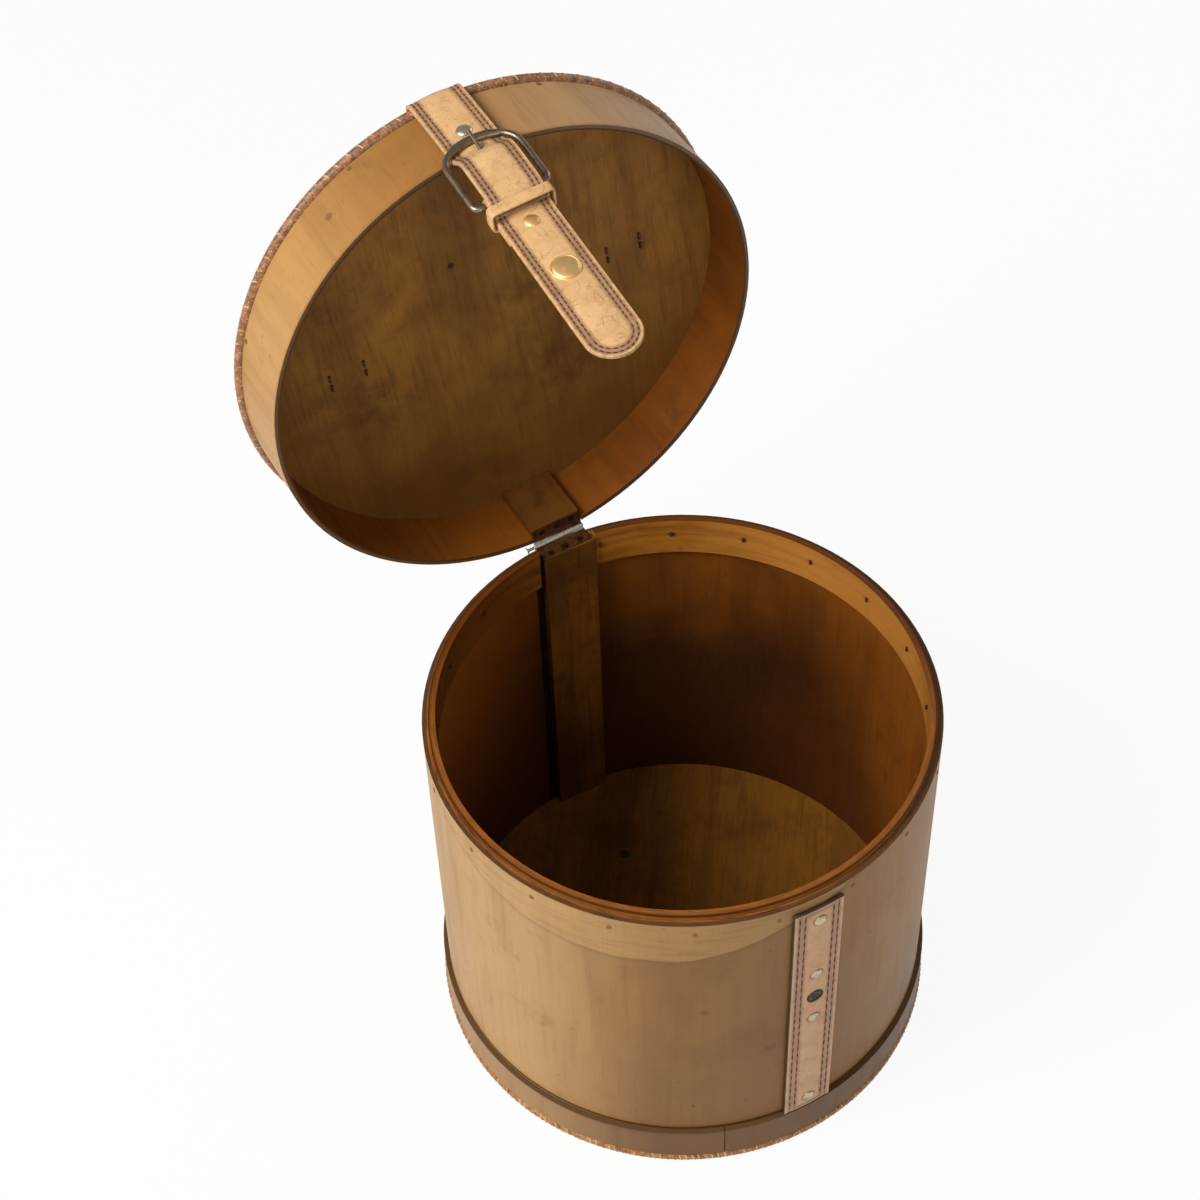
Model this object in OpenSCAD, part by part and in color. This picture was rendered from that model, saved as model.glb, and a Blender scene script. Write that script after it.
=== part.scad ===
// Round collar box of bent wood: a case with a hinged lid, a stitched leather strap
// with a buckle and a press stud, and a carry handle. The lid stands open.

/* [Case] */
// Outer diameter of the case wall
case_d = 236; // [200:1:280]
// Height of the case wall, from the table to the seam
case_h = 200; // [170:1:260]
// Thickness of the case wall
wall_t = 3; // [2:0.1:4]
// Thickness of the floor board
floor_t = 4; // [3:0.1:8]

/* [Rim lining] */
// Thickness of the lining hoop
lining_t = 3.1; // [2:0.1:4]
// Depth that the lining reaches below the seam
lining_drop = 20; // [14:1:40]
// Height that the lining stands above the seam, inside the lid
lining_proud = 3; // [1:0.1:5]
// Nails round the lining
lining_nail_count = 20; // [8:1:24]
// Depth of the lining nails below the seam
lining_nail_drop = 7; // [4:0.5:11]

/* [Batten] */
// Width of the batten that covers the seam of the case wall
batten_w = 27; // [24:0.5:40]
// Thickness of the batten at its middle
batten_t = 5.4; // [4.5:0.1:8]
// Sideways place of the batten's middle
batten_x = 1.5; // [-2:0.5:2]
// Width of the open joint between the lining's left end and the batten
lining_joint = 2.6; // [1:0.1:6]
// Nails in each of the batten's two rows
batten_nail_count = 4; // [2:1:6]

/* [Base] */
// Thickness of the base band
band_t = 2.3; // [1.5:0.1:4]
// Height of the base band's upper edge above the table
band_top = 26; // [18:0.5:50]
// Diameter of the bead round the base and round the lid
bead_d = 5.6; // [4:0.1:8]
// Nails that hold the floor board
floor_nail_count = 8; // [4:1:12]

/* [Lid] */
// Height of the lid from the seam to the top of its bead
lid_h = 41.5; // [36:0.5:60]
// Thickness of the lid wall
lid_wall_t = 2.4; // [1.5:0.1:3]
// Thickness of the lid board
lid_board_t = 5; // [3:0.1:7]
// Depth of the lid board's outer face below the top of the bead
lid_board_drop = 4.7; // [3.6:0.1:6]
// Nails that hold the lid board
lid_nail_count = 8; // [4:1:12]
// Width of the cleat that backs the lid's hinge leaf
cleat_w = 25; // [22:0.5:28]
// Thickness of the cleat
cleat_t = 6; // [5:0.1:9]

/* [Hinge] */
// Width of the hinge
hinge_w = 26; // [20:0.5:30]
// Radius of the hinge barrel
barrel_r = 1.8; // [1.5:0.05:2.2]
// Radius of the hinge pin
hinge_pin_r = 0.75; // [0.6:0.05:0.9]
// Thickness of a hinge leaf
leaf_t = 0.8; // [0.5:0.05:1]
// Depth of a leaf from the pin's centre to its inner edge
leaf_depth = 9.6; // [8.5:0.1:10]
// Length of pin that stands out past the barrel's left end
pin_out = 4.5; // [1:0.5:8]
// Angle that the lid stands open at
lid_open = 93; // [80:0.5:100]
// Angle that the hinge is out of square, seen from above
hinge_yaw = 2.5; // [-3:0.25:3]
// Angle that the hinge leans to one side, seen from the front
hinge_lean = 2.5; // [-3:0.25:3]

/* [Straps] */
// Width of the leather straps
strap_w = 25; // [20:0.5:27]
// Thickness of the lid's strap leather
strap_t = 1.8; // [1.5:0.1:2.2]
// Thickness of the catch strap on the case
catch_t = 2.2; // [1.5:0.1:2.4]
// Depth of the catch strap's upper end below the seam
catch_drop = 6; // [5:0.5:9]
// Radius of the rivet heads on the catch strap
catch_rivet_r = 2.8; // [2:0.1:3.5]
// Depth of the press stud's socket below the seam
socket_drop = 76; // [60:0.5:90]
// Length of the lid strap's end that lies on top of the lid
strap_wrap = 7; // [4:0.5:12]
// Height of the lid strap's bend above the seam
bend_z = 7; // [6:0.5:9]
// Angle that the hanging strap droops inward from square, with the lid open
droop = 8.6; // [6:0.1:10]
// Angle that the hanging strap stands out from the case, with the lid shut
stand_off = 4.5; // [4:0.1:6]
// Distance from the strap's bend to the buckle's bar
bar_s = 39; // [36:0.5:44]
// Distance from the strap's bend to the bend of the snap tab
tab_s = 61; // [59:0.5:65]
// Distance from the strap's bend to the tab's tip
tip_s = 133.5; // [110:0.5:140]

/* [Buckle] */
// Radius of the buckle's wire
wire_r = 1.5; // [1.2:0.05:1.8]
// Width of the buckle between the middles of its sides
buckle_w = 34; // [32:0.5:40]
// Radius of the buckle's rounded corners
buckle_corner_r = 11; // [8:0.5:12]
// Radius of the buckle's curved nose
nose_r = 26; // [22:0.5:40]
// Radius of the prong
prong_r = 1; // [0.8:0.05:1.2]
// Width of the keeper along the strap
keeper_l = 5.3; // [4:0.1:7]
// Thickness of the keeper's leather
keeper_t = 0.9; // [0.8:0.1:1.5]

/* [Press stud] */
// Diameter of the press stud's cap
cap_d = 13; // [10:0.5:15]
// Radius of the press stud's post
post_r = 2.2; // [1.8:0.05:2.5]
// Length of the press stud from the tab's inner face to the post's end
post_l = 4; // [3.5:0.1:4.2]

/* [Handle] */
// Distance between the handle's outer staples
handle_span = 158; // [130:1:170]
// Distance between the two staples at one end
staple_pitch = 17; // [12:0.5:22]
// Width of the handle strap
handle_w = 22; // [16:0.5:28]
// Thickness of the handle strap
handle_t = 2.6; // [2:0.1:3.5]
// Height of the handle's arch above the lid board
handle_rise = 26; // [18:0.5:36]
// Radius of the staple wire
staple_r = 0.6; // [0.4:0.05:0.8]

/* [Hidden] */
$fn = 96;

// Fits
glue_gap = 0.1;
nail_gap = 0.05;
pin_gap = 0.05;
rest_gap = 0.3;
seam_gap = 0.3;
past = 1;

// Case
case_r = case_d / 2;
case_in_r = case_r - wall_t;
lining_out_r = case_in_r - glue_gap;
lining_in_r = lining_out_r - lining_t;
batten_face_y = lining_out_r - batten_t;
batten_left = batten_x - batten_w / 2;
batten_right = batten_x + batten_w / 2;
wall_slit = 0.4;
nail_r = 0.6;
nail_head_r = 1.1;
nail_head_h = 0.3;
floor_nail_l = 12;
batten_nail_inset = 6;
batten_nail_margin = 30;
clench_l = 2.4;

// Base
bead_r = bead_d / 2;
band_in_r = case_r + glue_gap;
band_out_r = band_in_r + band_t;
band_foot = bead_d + 2 * glue_gap;
base_bead_r = case_r + 0.5;

// Lid, in its shut place
lid_z = case_h + seam_gap;
lid_top = case_h + lid_h;
lid_in_r = case_r - lid_wall_t;
lid_wall_top = lid_top - bead_r - 0.2;
lid_board_top = lid_top - lid_board_drop;
lid_board_z = lid_board_top - lid_board_t;
lid_board_r = lid_in_r - glue_gap;
lid_nail_l = 12;
cleat_face_y = lid_board_r - cleat_t;

// Hinge, about its own axis, in the shut place
barrel_gap = 0.2;
knuckle_gap = 0.15;
leaf_gap = 0.1;
knuckle_count = 5;
hinge_y = case_r + barrel_r + barrel_gap;
hinge_at = [0, hinge_y, case_h];
hinge_dir = [cos(hinge_yaw) * cos(hinge_lean), sin(hinge_yaw) * cos(hinge_lean), sin(hinge_lean)];
pocket_half = leaf_gap + leaf_t + glue_gap / 2;
screw_r = 0.9;
screw_head_r = 1.6;
screw_l = 7;
screw_y = -leaf_depth + screw_head_r + 0.7;
screw_pitch = 8;
pin_head_r = 1.7;
pin_head_t = 0.6;

// Catch strap
catch_in_r = case_r + glue_gap;
catch_face_r = catch_in_r + catch_t;
catch_top = case_h - catch_drop;
catch_foot = band_top + 0.2;
dome_h = 1;
shank_r = 1.1;
socket_z = case_h - socket_drop;
catch_rivet_z = [catch_top - 9, socket_z + 18, socket_z - 18, catch_foot + 9];
socket_bore_r = post_r + 0.55;
socket_rim_r = 4.2;
socket_rim_h = 0.5;
burr_r = 2.6;
burr_t = 0.6;

// Lid strap, from the top of the lid down to its bend
bend_rho = case_r + 2.4;
strap_half = strap_t / 2;
bead_clear = 0.25;
wrap_r = bead_r + bead_clear + strap_half;
bead_at = [case_r, lid_top - bead_r];
strap_split = 0.15;
lid_rivet_z = 11.2;
lid_rivet_r = 3.6;
lid_dome_h = 1.7;
fold_dome_h = 1.4;

// Hanging strap, in its own frame: s runs down the strap from its bend, n points outward
bend_at = [0, -bend_rho, case_h + bend_z];
nose_s = 3.2;
strap_slope = atan((case_r + wrap_r - bend_rho) / (bead_at[1] - case_h - bend_z));
nose_gap = 0.35 + max(0, -nose_s) * sin(stand_off + strap_slope);
wire_n = strap_half + nose_gap + wire_r;
fold_r = wire_r + 0.1 + strap_half;
layer = strap_t + 0.1;
prong_loop_r = wire_r + 0.1 + prong_r;
tongue_lift = max(1.22 * layer, prong_loop_r + prong_r + strap_half + 0.15 - fold_r);
tongue_n = wire_n + fold_r + tongue_lift;
tab_n = 1;
return_n = tab_n - layer;
fold_rivet_s = tab_s - 6;
fold_rivet_r = 3.4;
fold_drop = fold_rivet_s - 4;
return_end = fold_rivet_s + 4.5;
keeper_s = bar_s + wire_r + 3.5;
tongue_end = keeper_s + keeper_l - 1;
tongue_rise = 12;
tab_hinge_n = tab_n + strap_half + 0.1;
cap_h = 1.6;
cap_base_r = 5;
cap_base_h = post_l - 1.4;

// Press stud, so that its post meets the socket with the lid shut and the tab pressed in
tab_press = 7;
shut_angle = stand_off - tab_press;
tab_hinge_z = bend_at[2] - tab_s * cos(stand_off) + tab_hinge_n * sin(stand_off);
post_depth = 2 * strap_half + 0.1 + post_l - 0.5;
cap_s = tab_s + (tab_hinge_z - post_depth * sin(shut_angle) - socket_z) / cos(shut_angle);

// Buckle
buckle_half = buckle_w / 2;
joint_swell = 0.03;
corner_x = buckle_half - buckle_corner_r;
nose_angle = asin(corner_x / (nose_r - buckle_corner_r));
corner_s = nose_s + nose_r - (nose_r - buckle_corner_r) * cos(nose_angle);
nose_end = [nose_r * sin(nose_angle), nose_s + nose_r * (1 - cos(nose_angle))];
corner_reach = max(0, strap_w / 2 - 0.5 - corner_x);
corner_inner_s = corner_s - sqrt(max(0, pow(buckle_corner_r - wire_r, 2) - pow(corner_reach, 2)));
rise_s = max(nose_s + 3.5, corner_inner_s - 1.15);
prong_loop_l = 2 * prong_r + 0.4;
prong_tip_n = wire_n + wire_r + prong_r + 0.1;
prong_tip_s = nose_s - wire_r - 0.6;
prong_slot_w = 2 * prong_r + 1;
prong_slot_s = rise_s + 6.6;
prong_slot_l = 8.5;
fold_slot_w = prong_loop_l + 0.8;
keeper_half = strap_w / 2 + 1.2;
keeper_top_n = fold_n(keeper_s) + tongue_lift + 1.15 * strap_half + 0.15;
keeper_low_n = min(return_n, wire_n - fold_r) - strap_half - 0.1;

// Handle, on the lid board
handle_half = handle_span / 2 + 7;
arch_half = handle_span / 2 - staple_pitch - 6;
handle_y = -4;
arch_slope = 3.2;
staple_half = 4;

// Points along the line from a to b
function along(a, b, steps) = [for (i = [0:steps]) a + (b - a) * i / steps];
// Points of an arc about a centre, from one angle to another
function arc(c, r, a0, a1, steps) =
    [for (i = [0:steps]) let (a = a0 + (a1 - a0) * i / steps) c + r * [cos(a), sin(a)]];
// Ease from 0 to 1 as u goes from 0 to 1
function ease(u) = let (v = min(max(u, 0), 1)) v * v * (3 - 2 * v);
// Unit direction of a path at its point i
function heading(p, i) =
    let (a = p[max(i - 1, 0)], b = p[min(i + 1, len(p) - 1)]) (b - a) / norm(b - a);
// One side of a band of the given width along a path
function side(p, w) = [for (i = [0:len(p) - 1]) let (d = heading(p, i)) p[i] + w * [-d[1], d[0]]];
function reversed(p) = [for (i = [len(p) - 1:-1:0]) p[i]];
// Closed outline of a band that follows a path
function band_outline(p, t) = concat(side(p, t / 2), reversed(side(p, -t / 2)));

// Places and poses

// Turns what lies in the shut place to where the open lid carries it
module lid_pose() {
    translate(hinge_at) rotate(a = -lid_open, v = hinge_dir) translate(-hinge_at) children();
}

// Moves the hinge's own frame, with its axis along x, onto the hinge
module hinge_frame() {
    translate(hinge_at) rotate([0, -hinge_lean, hinge_yaw]) children();
}

// Moves the hanging strap's frame onto the lid, drooping as it does with the lid open
module strap_pose() {
    lid_pose() translate(bend_at) rotate([droop, 0, 0]) children();
}

// Points from the outside toward the axis at an angle round from the front
module radial(angle, z, r) {
    rotate([0, 0, angle]) translate([0, -r, z]) rotate([-90, 0, 0]) children();
}

// Rings and small fasteners

module hoop(r_out, r_in, z0, z1) {
    difference() {
        translate([0, 0, z0]) cylinder(r = r_out, h = z1 - z0);
        translate([0, 0, z0 - past]) cylinder(r = r_in, h = z1 - z0 + 2 * past);
    }
}

// Low dome that stands on the plane z = 0 and rises toward -z
module dome(r, h) {
    ball_r = (r * r + h * h) / (2 * h);
    intersection() {
        translate([0, 0, ball_r - h]) sphere(r = ball_r);
        translate([-r - past, -r - past, -h - past]) cube([2 * (r + past), 2 * (r + past), h + past]);
    }
}

module nail(length) {
    translate([0, 0, -nail_head_h]) cylinder(r = nail_head_r, h = nail_head_h, $fn = 24);
    translate([0, 0, -nail_head_h / 2]) cylinder(r = nail_r, h = length + nail_head_h / 2, $fn = 24);
}

module nail_hole(length) {
    translate([0, 0, -past]) cylinder(r = nail_r + nail_gap, h = length + past + nail_gap, $fn = 24);
}

// Rivet with a domed head, its shank and a burr past the layers that it grips
module rivet(head_r, head_h, grip) {
    dome(head_r, head_h);
    shank_l = grip + nail_gap + (head_h + burr_t) / 2;
    translate([0, 0, -head_h / 2]) cylinder(r = shank_r, h = shank_l, $fn = 32);
    translate([0, 0, grip + nail_gap]) cylinder(r = burr_r, h = burr_t, $fn = 32);
}

module rivet_hole(length) {
    translate([0, 0, -past]) cylinder(r = shank_r + nail_gap, h = length + 2 * past, $fn = 32);
}

// Case

module at_lining_nails() {
    step = 360 / lining_nail_count;
    for (i = [0:lining_nail_count - 1]) {
        radial(step * (i + 0.5), case_h - lining_nail_drop, case_r) children();
    }
}

module at_batten_nails() {
    first = batten_nail_margin;
    pitch = (case_h - lining_drop - 2 * batten_nail_margin) / (batten_nail_count - 1);
    for (side = [-1, 1], i = [0:batten_nail_count - 1]) {
        x = batten_x + side * batten_nail_inset;
        radial(180 - asin(x / case_r), first + i * pitch, case_r) children();
    }
}

module at_floor_nails() {
    for (i = [0:floor_nail_count - 1]) {
        radial(360 / floor_nail_count * (i + 0.5), floor_t / 2, case_r) children();
    }
}

module at_catch_rivets() {
    for (z = catch_rivet_z) {
        radial(0, z, catch_face_r) children();
    }
}

// Thickness that a catch rivet grips at a height: strap, wall and, high up, the lining
function catch_grip(z) =
    catch_t + glue_gap + wall_t + (z + burr_r > case_h - lining_drop - rest_gap ? glue_gap + lining_t : 0);

// Room for both leaves between case and lid
module hinge_pocket() {
    width = hinge_w + 2 * rest_gap;
    depth = leaf_depth + rest_gap;
    hinge_frame() translate([-width / 2, -depth, -pocket_half])
        cube([width, depth + 2 * barrel_r, 2 * pocket_half]);
}

module at_screws() {
    for (x = [-screw_pitch, 0, screw_pitch]) {
        translate([x, screw_y, 0]) children();
    }
}

module case_screw_holes() {
    hinge_frame() at_screws() translate([0, 0, -screw_l - past])
        cylinder(r = screw_r + nail_gap, h = screw_l + past, $fn = 24);
}

module lid_screw_holes() {
    hinge_frame() at_screws() cylinder(r = screw_r + nail_gap, h = screw_l + past, $fn = 24);
}

module body_wall() {
    color("#b98f55") difference() {
        hoop(case_r, case_in_r, 0, case_h);
        translate([batten_x - wall_slit / 2, 0, -past]) cube([wall_slit, case_r + past, case_h + 2 * past]);
        hinge_pocket();
        at_lining_nails() nail_hole(wall_t + past);
        at_batten_nails() nail_hole(wall_t + past);
        at_floor_nails() nail_hole(wall_t + past);
        at_catch_rivets() rivet_hole(catch_t + wall_t + past);
        radial(0, socket_z, catch_face_r) rivet_hole(catch_t + wall_t + past);
    }
}

module rim_lining() {
    color("#a8682c") difference() {
        hoop(lining_out_r, lining_in_r, case_h - lining_drop, case_h + lining_proud);
        translate([batten_left - lining_joint, 0, case_h - lining_drop - past])
            cube([batten_w + lining_joint + glue_gap, case_r, lining_drop + lining_proud + 2 * past]);
        at_lining_nails() nail_hole(wall_t + lining_t + past);
        at_catch_rivets() rivet_hole(catch_t + wall_t + lining_t + past);
    }
}

module seam_batten() {
    color("#7a4a1f") difference() {
        intersection() {
            translate([batten_left, batten_face_y, floor_t + glue_gap])
                cube([batten_w, batten_t + past, case_h - floor_t - glue_gap]);
            cylinder(r = lining_out_r, h = case_h + past);
        }
        hinge_pocket();
        case_screw_holes();
        at_batten_nails() nail_hole(wall_t + batten_t - past);
    }
}

module floor_board() {
    color("#6e4a22") difference() {
        cylinder(r = case_in_r - glue_gap, h = floor_t);
        at_floor_nails() nail_hole(floor_nail_l);
    }
}

module base_band() {
    lap_angle = -20;
    color("#9b7440") difference() {
        hoop(band_out_r, band_in_r, band_foot, band_top);
        radial(lap_angle, 0, case_r) translate([-wall_slit / 2, -band_top - past, -band_t - past])
            cube([wall_slit, band_top + 2 * past, band_t + 2 * past]);
    }
}

// Half-round bead on the outer corner of a hoop, with the corner cut out of it
module bead(centre_r, z, keep_out_r, low, high) {
    color("#8a4d26") rotate_extrude(angle = 360) difference() {
        translate([centre_r, z]) circle(r = bead_r, $fn = 48);
        translate([centre_r - 2 * bead_r, low]) square([keep_out_r - centre_r + 2 * bead_r, high - low]);
    }
}

module base_trim() {
    bead(base_bead_r, bead_r + glue_gap, case_r + glue_gap, -past, bead_d + past);
}

module lining_nails() {
    color("#4a4038") at_lining_nails() {
        nail(wall_t + lining_t);
        translate([0, 0, wall_t + glue_gap + lining_t + nail_r]) rotate([90, 0, 0])
            translate([0, 0, -nail_r]) cylinder(r = nail_r, h = clench_l, $fn = 24);
        translate([0, 0, wall_t + lining_t - past])
            cylinder(r = nail_r, h = past + glue_gap + nail_r, $fn = 24);
    }
}

module batten_nails() {
    color("#4a4038") at_batten_nails() nail(wall_t + batten_t - 2 * past);
}

module floor_nails() {
    color("#4a4038") at_floor_nails() cylinder(r = nail_r, h = floor_nail_l, $fn = 24);
}

// Catch strap

module catch_strap() {
    color("#c59a72") difference() {
        intersection() {
            hoop(catch_face_r, catch_in_r, catch_foot, catch_top);
            translate([-strap_w / 2, -case_r - 2 * catch_t, 0]) cube([strap_w, case_r, case_h]);
        }
        at_catch_rivets() rivet_hole(catch_t);
        radial(0, socket_z, catch_face_r) translate([0, 0, -past])
            cylinder(r = socket_bore_r + 0.6 + nail_gap, h = catch_t + 2 * past, $fn = 48);
    }
}

module catch_strap_rivets() {
    color("#c9c4b8") for (z = catch_rivet_z) {
        radial(0, z, catch_face_r) rivet(catch_rivet_r, dome_h, catch_grip(z));
    }
}

module snap_socket() {
    lip = 0.6;
    color("#3b3530") radial(0, socket_z, catch_face_r) {
        difference() {
            union() {
                translate([0, 0, -socket_rim_h])
                    cylinder(r = socket_rim_r, h = socket_rim_h - nail_gap, $fn = 48);
                translate([0, 0, -socket_rim_h / 2])
                    cylinder(r = socket_bore_r + lip, h = catch_t + socket_rim_h / 2, $fn = 48);
            }
            translate([0, 0, -past]) cylinder(r = socket_bore_r, h = catch_t + past - lip, $fn = 48);
        }
        translate([0, 0, catch_t - lip / 2])
            cylinder(r = shank_r, h = wall_t + glue_gap + (burr_t + lip) / 2, $fn = 32);
        translate([0, 0, catch_t + glue_gap + wall_t + nail_gap]) cylinder(r = burr_r, h = burr_t, $fn = 32);
    }
}

// Hinge

function knuckle_x(i) = -hinge_w / 2 + hinge_w * i / knuckle_count;

// One leaf in the hinge's frame, on its own side of the middle plane
module hinge_leaf(up, first) {
    knuckle_l = hinge_w / knuckle_count;
    low = up > 0 ? leaf_gap : -leaf_gap - leaf_t;
    sink_r = screw_r + 2 * nail_gap;
    difference() {
        union() {
            translate([-hinge_w / 2, -leaf_depth, low]) cube([hinge_w, leaf_depth, leaf_t]);
            for (i = [first:2:knuckle_count - 1]) {
                translate([knuckle_x(i), 0, 0]) rotate([0, 90, 0])
                    cylinder(r = barrel_r, h = knuckle_l, $fn = 48);
            }
        }
        for (i = [1 - first:2:knuckle_count - 1]) {
            translate([knuckle_x(i) - knuckle_gap, -barrel_r - knuckle_gap, -barrel_r - past])
                cube([knuckle_l + 2 * knuckle_gap, 2 * barrel_r + past, 2 * (barrel_r + past)]);
        }
        translate([-hinge_w / 2 - past, 0, 0]) rotate([0, 90, 0])
            cylinder(r = hinge_pin_r + pin_gap, h = hinge_w + 2 * past, $fn = 48);
        at_screws() mirror([0, 0, up > 0 ? 1 : 0]) translate([0, 0, -leaf_gap - leaf_t - nail_gap])
            cylinder(r1 = sink_r, r2 = sink_r + screw_head_r - screw_r, h = leaf_t + 2 * nail_gap, $fn = 48);
    }
}

// Countersunk screw that goes down from the leaf's face
module hinge_screw() {
    translate([0, 0, -leaf_gap - leaf_t]) cylinder(r1 = screw_r, r2 = screw_head_r, h = leaf_t, $fn = 32);
    translate([0, 0, -screw_l]) cylinder(r = screw_r, h = screw_l - leaf_gap - leaf_t / 2, $fn = 24);
}

module hinge_leaf_case() {
    color("#6b5a45") hinge_frame() hinge_leaf(-1, 0);
}

module hinge_pin() {
    total = hinge_w + pin_out + 0.6;
    color("#d8d4c8") hinge_frame() translate([-hinge_w / 2 - pin_out, 0, 0]) rotate([0, 90, 0]) {
        cylinder(r = hinge_pin_r, h = total, $fn = 48);
        cylinder(r = pin_head_r, h = pin_head_t, $fn = 48);
    }
}

module hinge_screws_case() {
    color("#8a8074") hinge_frame() at_screws() hinge_screw();
}

module hinge_leaf_lid() {
    color("#6b5a45") lid_pose() hinge_frame() hinge_leaf(1, 1);
}

module hinge_screws_lid() {
    color("#8a8074") lid_pose() hinge_frame() at_screws() mirror([0, 0, 1]) hinge_screw();
}

// Lid

module at_lid_nails() {
    for (i = [0:lid_nail_count - 1]) {
        radial(360 / lid_nail_count * (i + 0.5), lid_board_z + lid_board_t / 2, case_r) children();
    }
}

module lid_rivet_place() {
    radial(0, case_h + lid_rivet_z, strap_rho(lid_rivet_z) + strap_half) children();
}

module lid_wall() {
    color("#b98f55") lid_pose() difference() {
        hoop(case_r, lid_in_r, lid_z, lid_wall_top);
        hinge_pocket();
        at_lid_nails() nail_hole(lid_wall_t + past);
        lid_rivet_place() rivet_hole(strap_t + lid_wall_t + 3 * past);
    }
}

module at_staples() {
    for (side = [-1, 1], k = [0, 1]) {
        translate([side * (handle_span / 2 - k * staple_pitch), handle_y, 0]) children();
    }
}

module lid_board() {
    color("#6b4a20") lid_pose() difference() {
        translate([0, 0, lid_board_z]) cylinder(r = lid_board_r, h = lid_board_t);
        at_lid_nails() nail_hole(lid_nail_l);
        at_staples() for (side = [-1, 1]) {
            translate([0, side * staple_half, lid_board_z - past])
                cylinder(r = staple_r + nail_gap, h = lid_board_t + 2 * past, $fn = 24);
        }
    }
}

module lid_trim() {
    lid_pose() bead(bead_at[0], bead_at[1], case_r + glue_gap, lid_z, lid_wall_top + glue_gap);
}

module lid_nails() {
    color("#4a4038") lid_pose() at_lid_nails() nail(lid_nail_l - past);
}

module lid_cleat() {
    color("#7a4a1f") lid_pose() difference() {
        intersection() {
            translate([-cleat_w / 2, cleat_face_y, lid_z])
                cube([cleat_w, cleat_t + past, lid_board_z - glue_gap - lid_z]);
            translate([0, 0, lid_z]) cylinder(r = lid_board_r, h = lid_h);
        }
        hinge_pocket();
        lid_screw_holes();
    }
}

// Distance of the lid strap's middle from the box's axis, at a height above the seam
function strap_rho(z) =
    bend_rho + (z - bend_z) * tan(strap_slope);

// Middle line of the lid strap as distance from the axis and height, from the top of the lid down
lid_strap_path = concat(
    [[case_r - strap_wrap, lid_top + bead_clear + strap_half]],
    arc([case_r, bead_at[1]], wrap_r, 90, 0, 10),
    [for (u = [0.66, 0.33]) let (h = bend_z + (bead_at[1] - case_h - bend_z) * u)
        [strap_rho(h), case_h + h]],
    [[bend_rho, case_h + bend_z + strap_split]]
);

module lid_strap() {
    color("#cfa878") lid_pose() difference() {
        rotate([90, 0, -90]) translate([0, 0, -strap_w / 2]) linear_extrude(strap_w)
            polygon(band_outline(lid_strap_path, strap_t));
        lid_rivet_place() rivet_hole(strap_t + past);
        lid_rivet_place() translate([0, 0, -past]) cylinder(r = lid_rivet_r + nail_gap, h = past, $fn = 48);
    }
}

module lid_strap_rivet() {
    grip = strap_rho(lid_rivet_z) + strap_half - lid_in_r;
    color("#c9c4b8") lid_pose() lid_rivet_place() rivet(lid_rivet_r, lid_dome_h, grip);
}

// Middle line of the handle, from one end to the other, above the lid board
handle_path = let (z0 = lid_board_top + glue_gap + handle_t / 2) concat(
    [[-handle_half, z0]],
    [for (i = [0:24]) let (u = i / 24, x = -arch_half + 2 * arch_half * u)
        [x, z0 + handle_rise * ease(arch_slope * min(u, 1 - u))]],
    [[handle_half, z0]]
);

module handle_strap() {
    color("#a97b4c") lid_pose() difference() {
        translate([0, handle_y + handle_w / 2, 0]) rotate([90, 0, 0]) linear_extrude(handle_w)
            polygon(band_outline(handle_path, handle_t));
        at_staples() for (side = [-1, 1]) {
            translate([0, side * staple_half, lid_board_top - past])
                cylinder(r = staple_r + nail_gap, h = handle_t + 3 * past, $fn = 24);
        }
    }
}

// Staple through the handle and the board, with its points bent over inside
module handle_staples() {
    crown_z = lid_board_top + glue_gap + handle_t + staple_r + nail_gap;
    point_z = lid_board_z - staple_r - nail_gap;
    point_l = 3;
    color("#8f897c") lid_pose() at_staples() {
        translate([0, -staple_half, crown_z]) rotate([-90, 0, 0])
            cylinder(r = staple_r, h = 2 * staple_half, $fn = 24);
        for (side = [-1, 1]) {
            translate([0, side * staple_half, point_z])
                cylinder(r = staple_r, h = crown_z - point_z, $fn = 24);
            translate([0, side * staple_half, crown_z]) sphere(r = staple_r, $fn = 24);
            translate([0, side * staple_half, point_z]) sphere(r = staple_r, $fn = 24);
            translate([0, side * staple_half, point_z]) rotate([side * 90, 0, 0])
                cylinder(r = staple_r, h = point_l, $fn = 24);
        }
    }
}

// Hanging strap

// Cylinder or other solid whose +z is the strap's outward direction, at a place on the strap
module on_strap(s, n, x = 0) {
    translate([x, -n, -s]) rotate([90, 0, 0]) children();
}

// Height of the fold's upper layer, from the bar down to where it lies flat
function fold_n(s) = tab_n + (wire_n + fold_r - tab_n) * ease(1 - min(max((s - bar_s) / (fold_drop - bar_s), 0), 1));

// Band of leather that follows a path in s and n, across the strap's width
module leather(path, width, thick) {
    outline = band_outline([for (p = path) [p[1], -p[0]]], thick);
    rotate([90, 0, -90]) translate([0, 0, -width / 2]) linear_extrude(width) polygon(outline);
}

tongue_path = concat(
    [[strap_split, 0]],
    [for (i = [0:14]) let (u = i / 14) [rise_s + tongue_rise * u, tongue_n * ease(u)]],
    [for (i = [0:6]) let (s = bar_s + (tongue_end - bar_s) * i / 6) [s, fold_n(s) + tongue_lift]]
);

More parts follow.
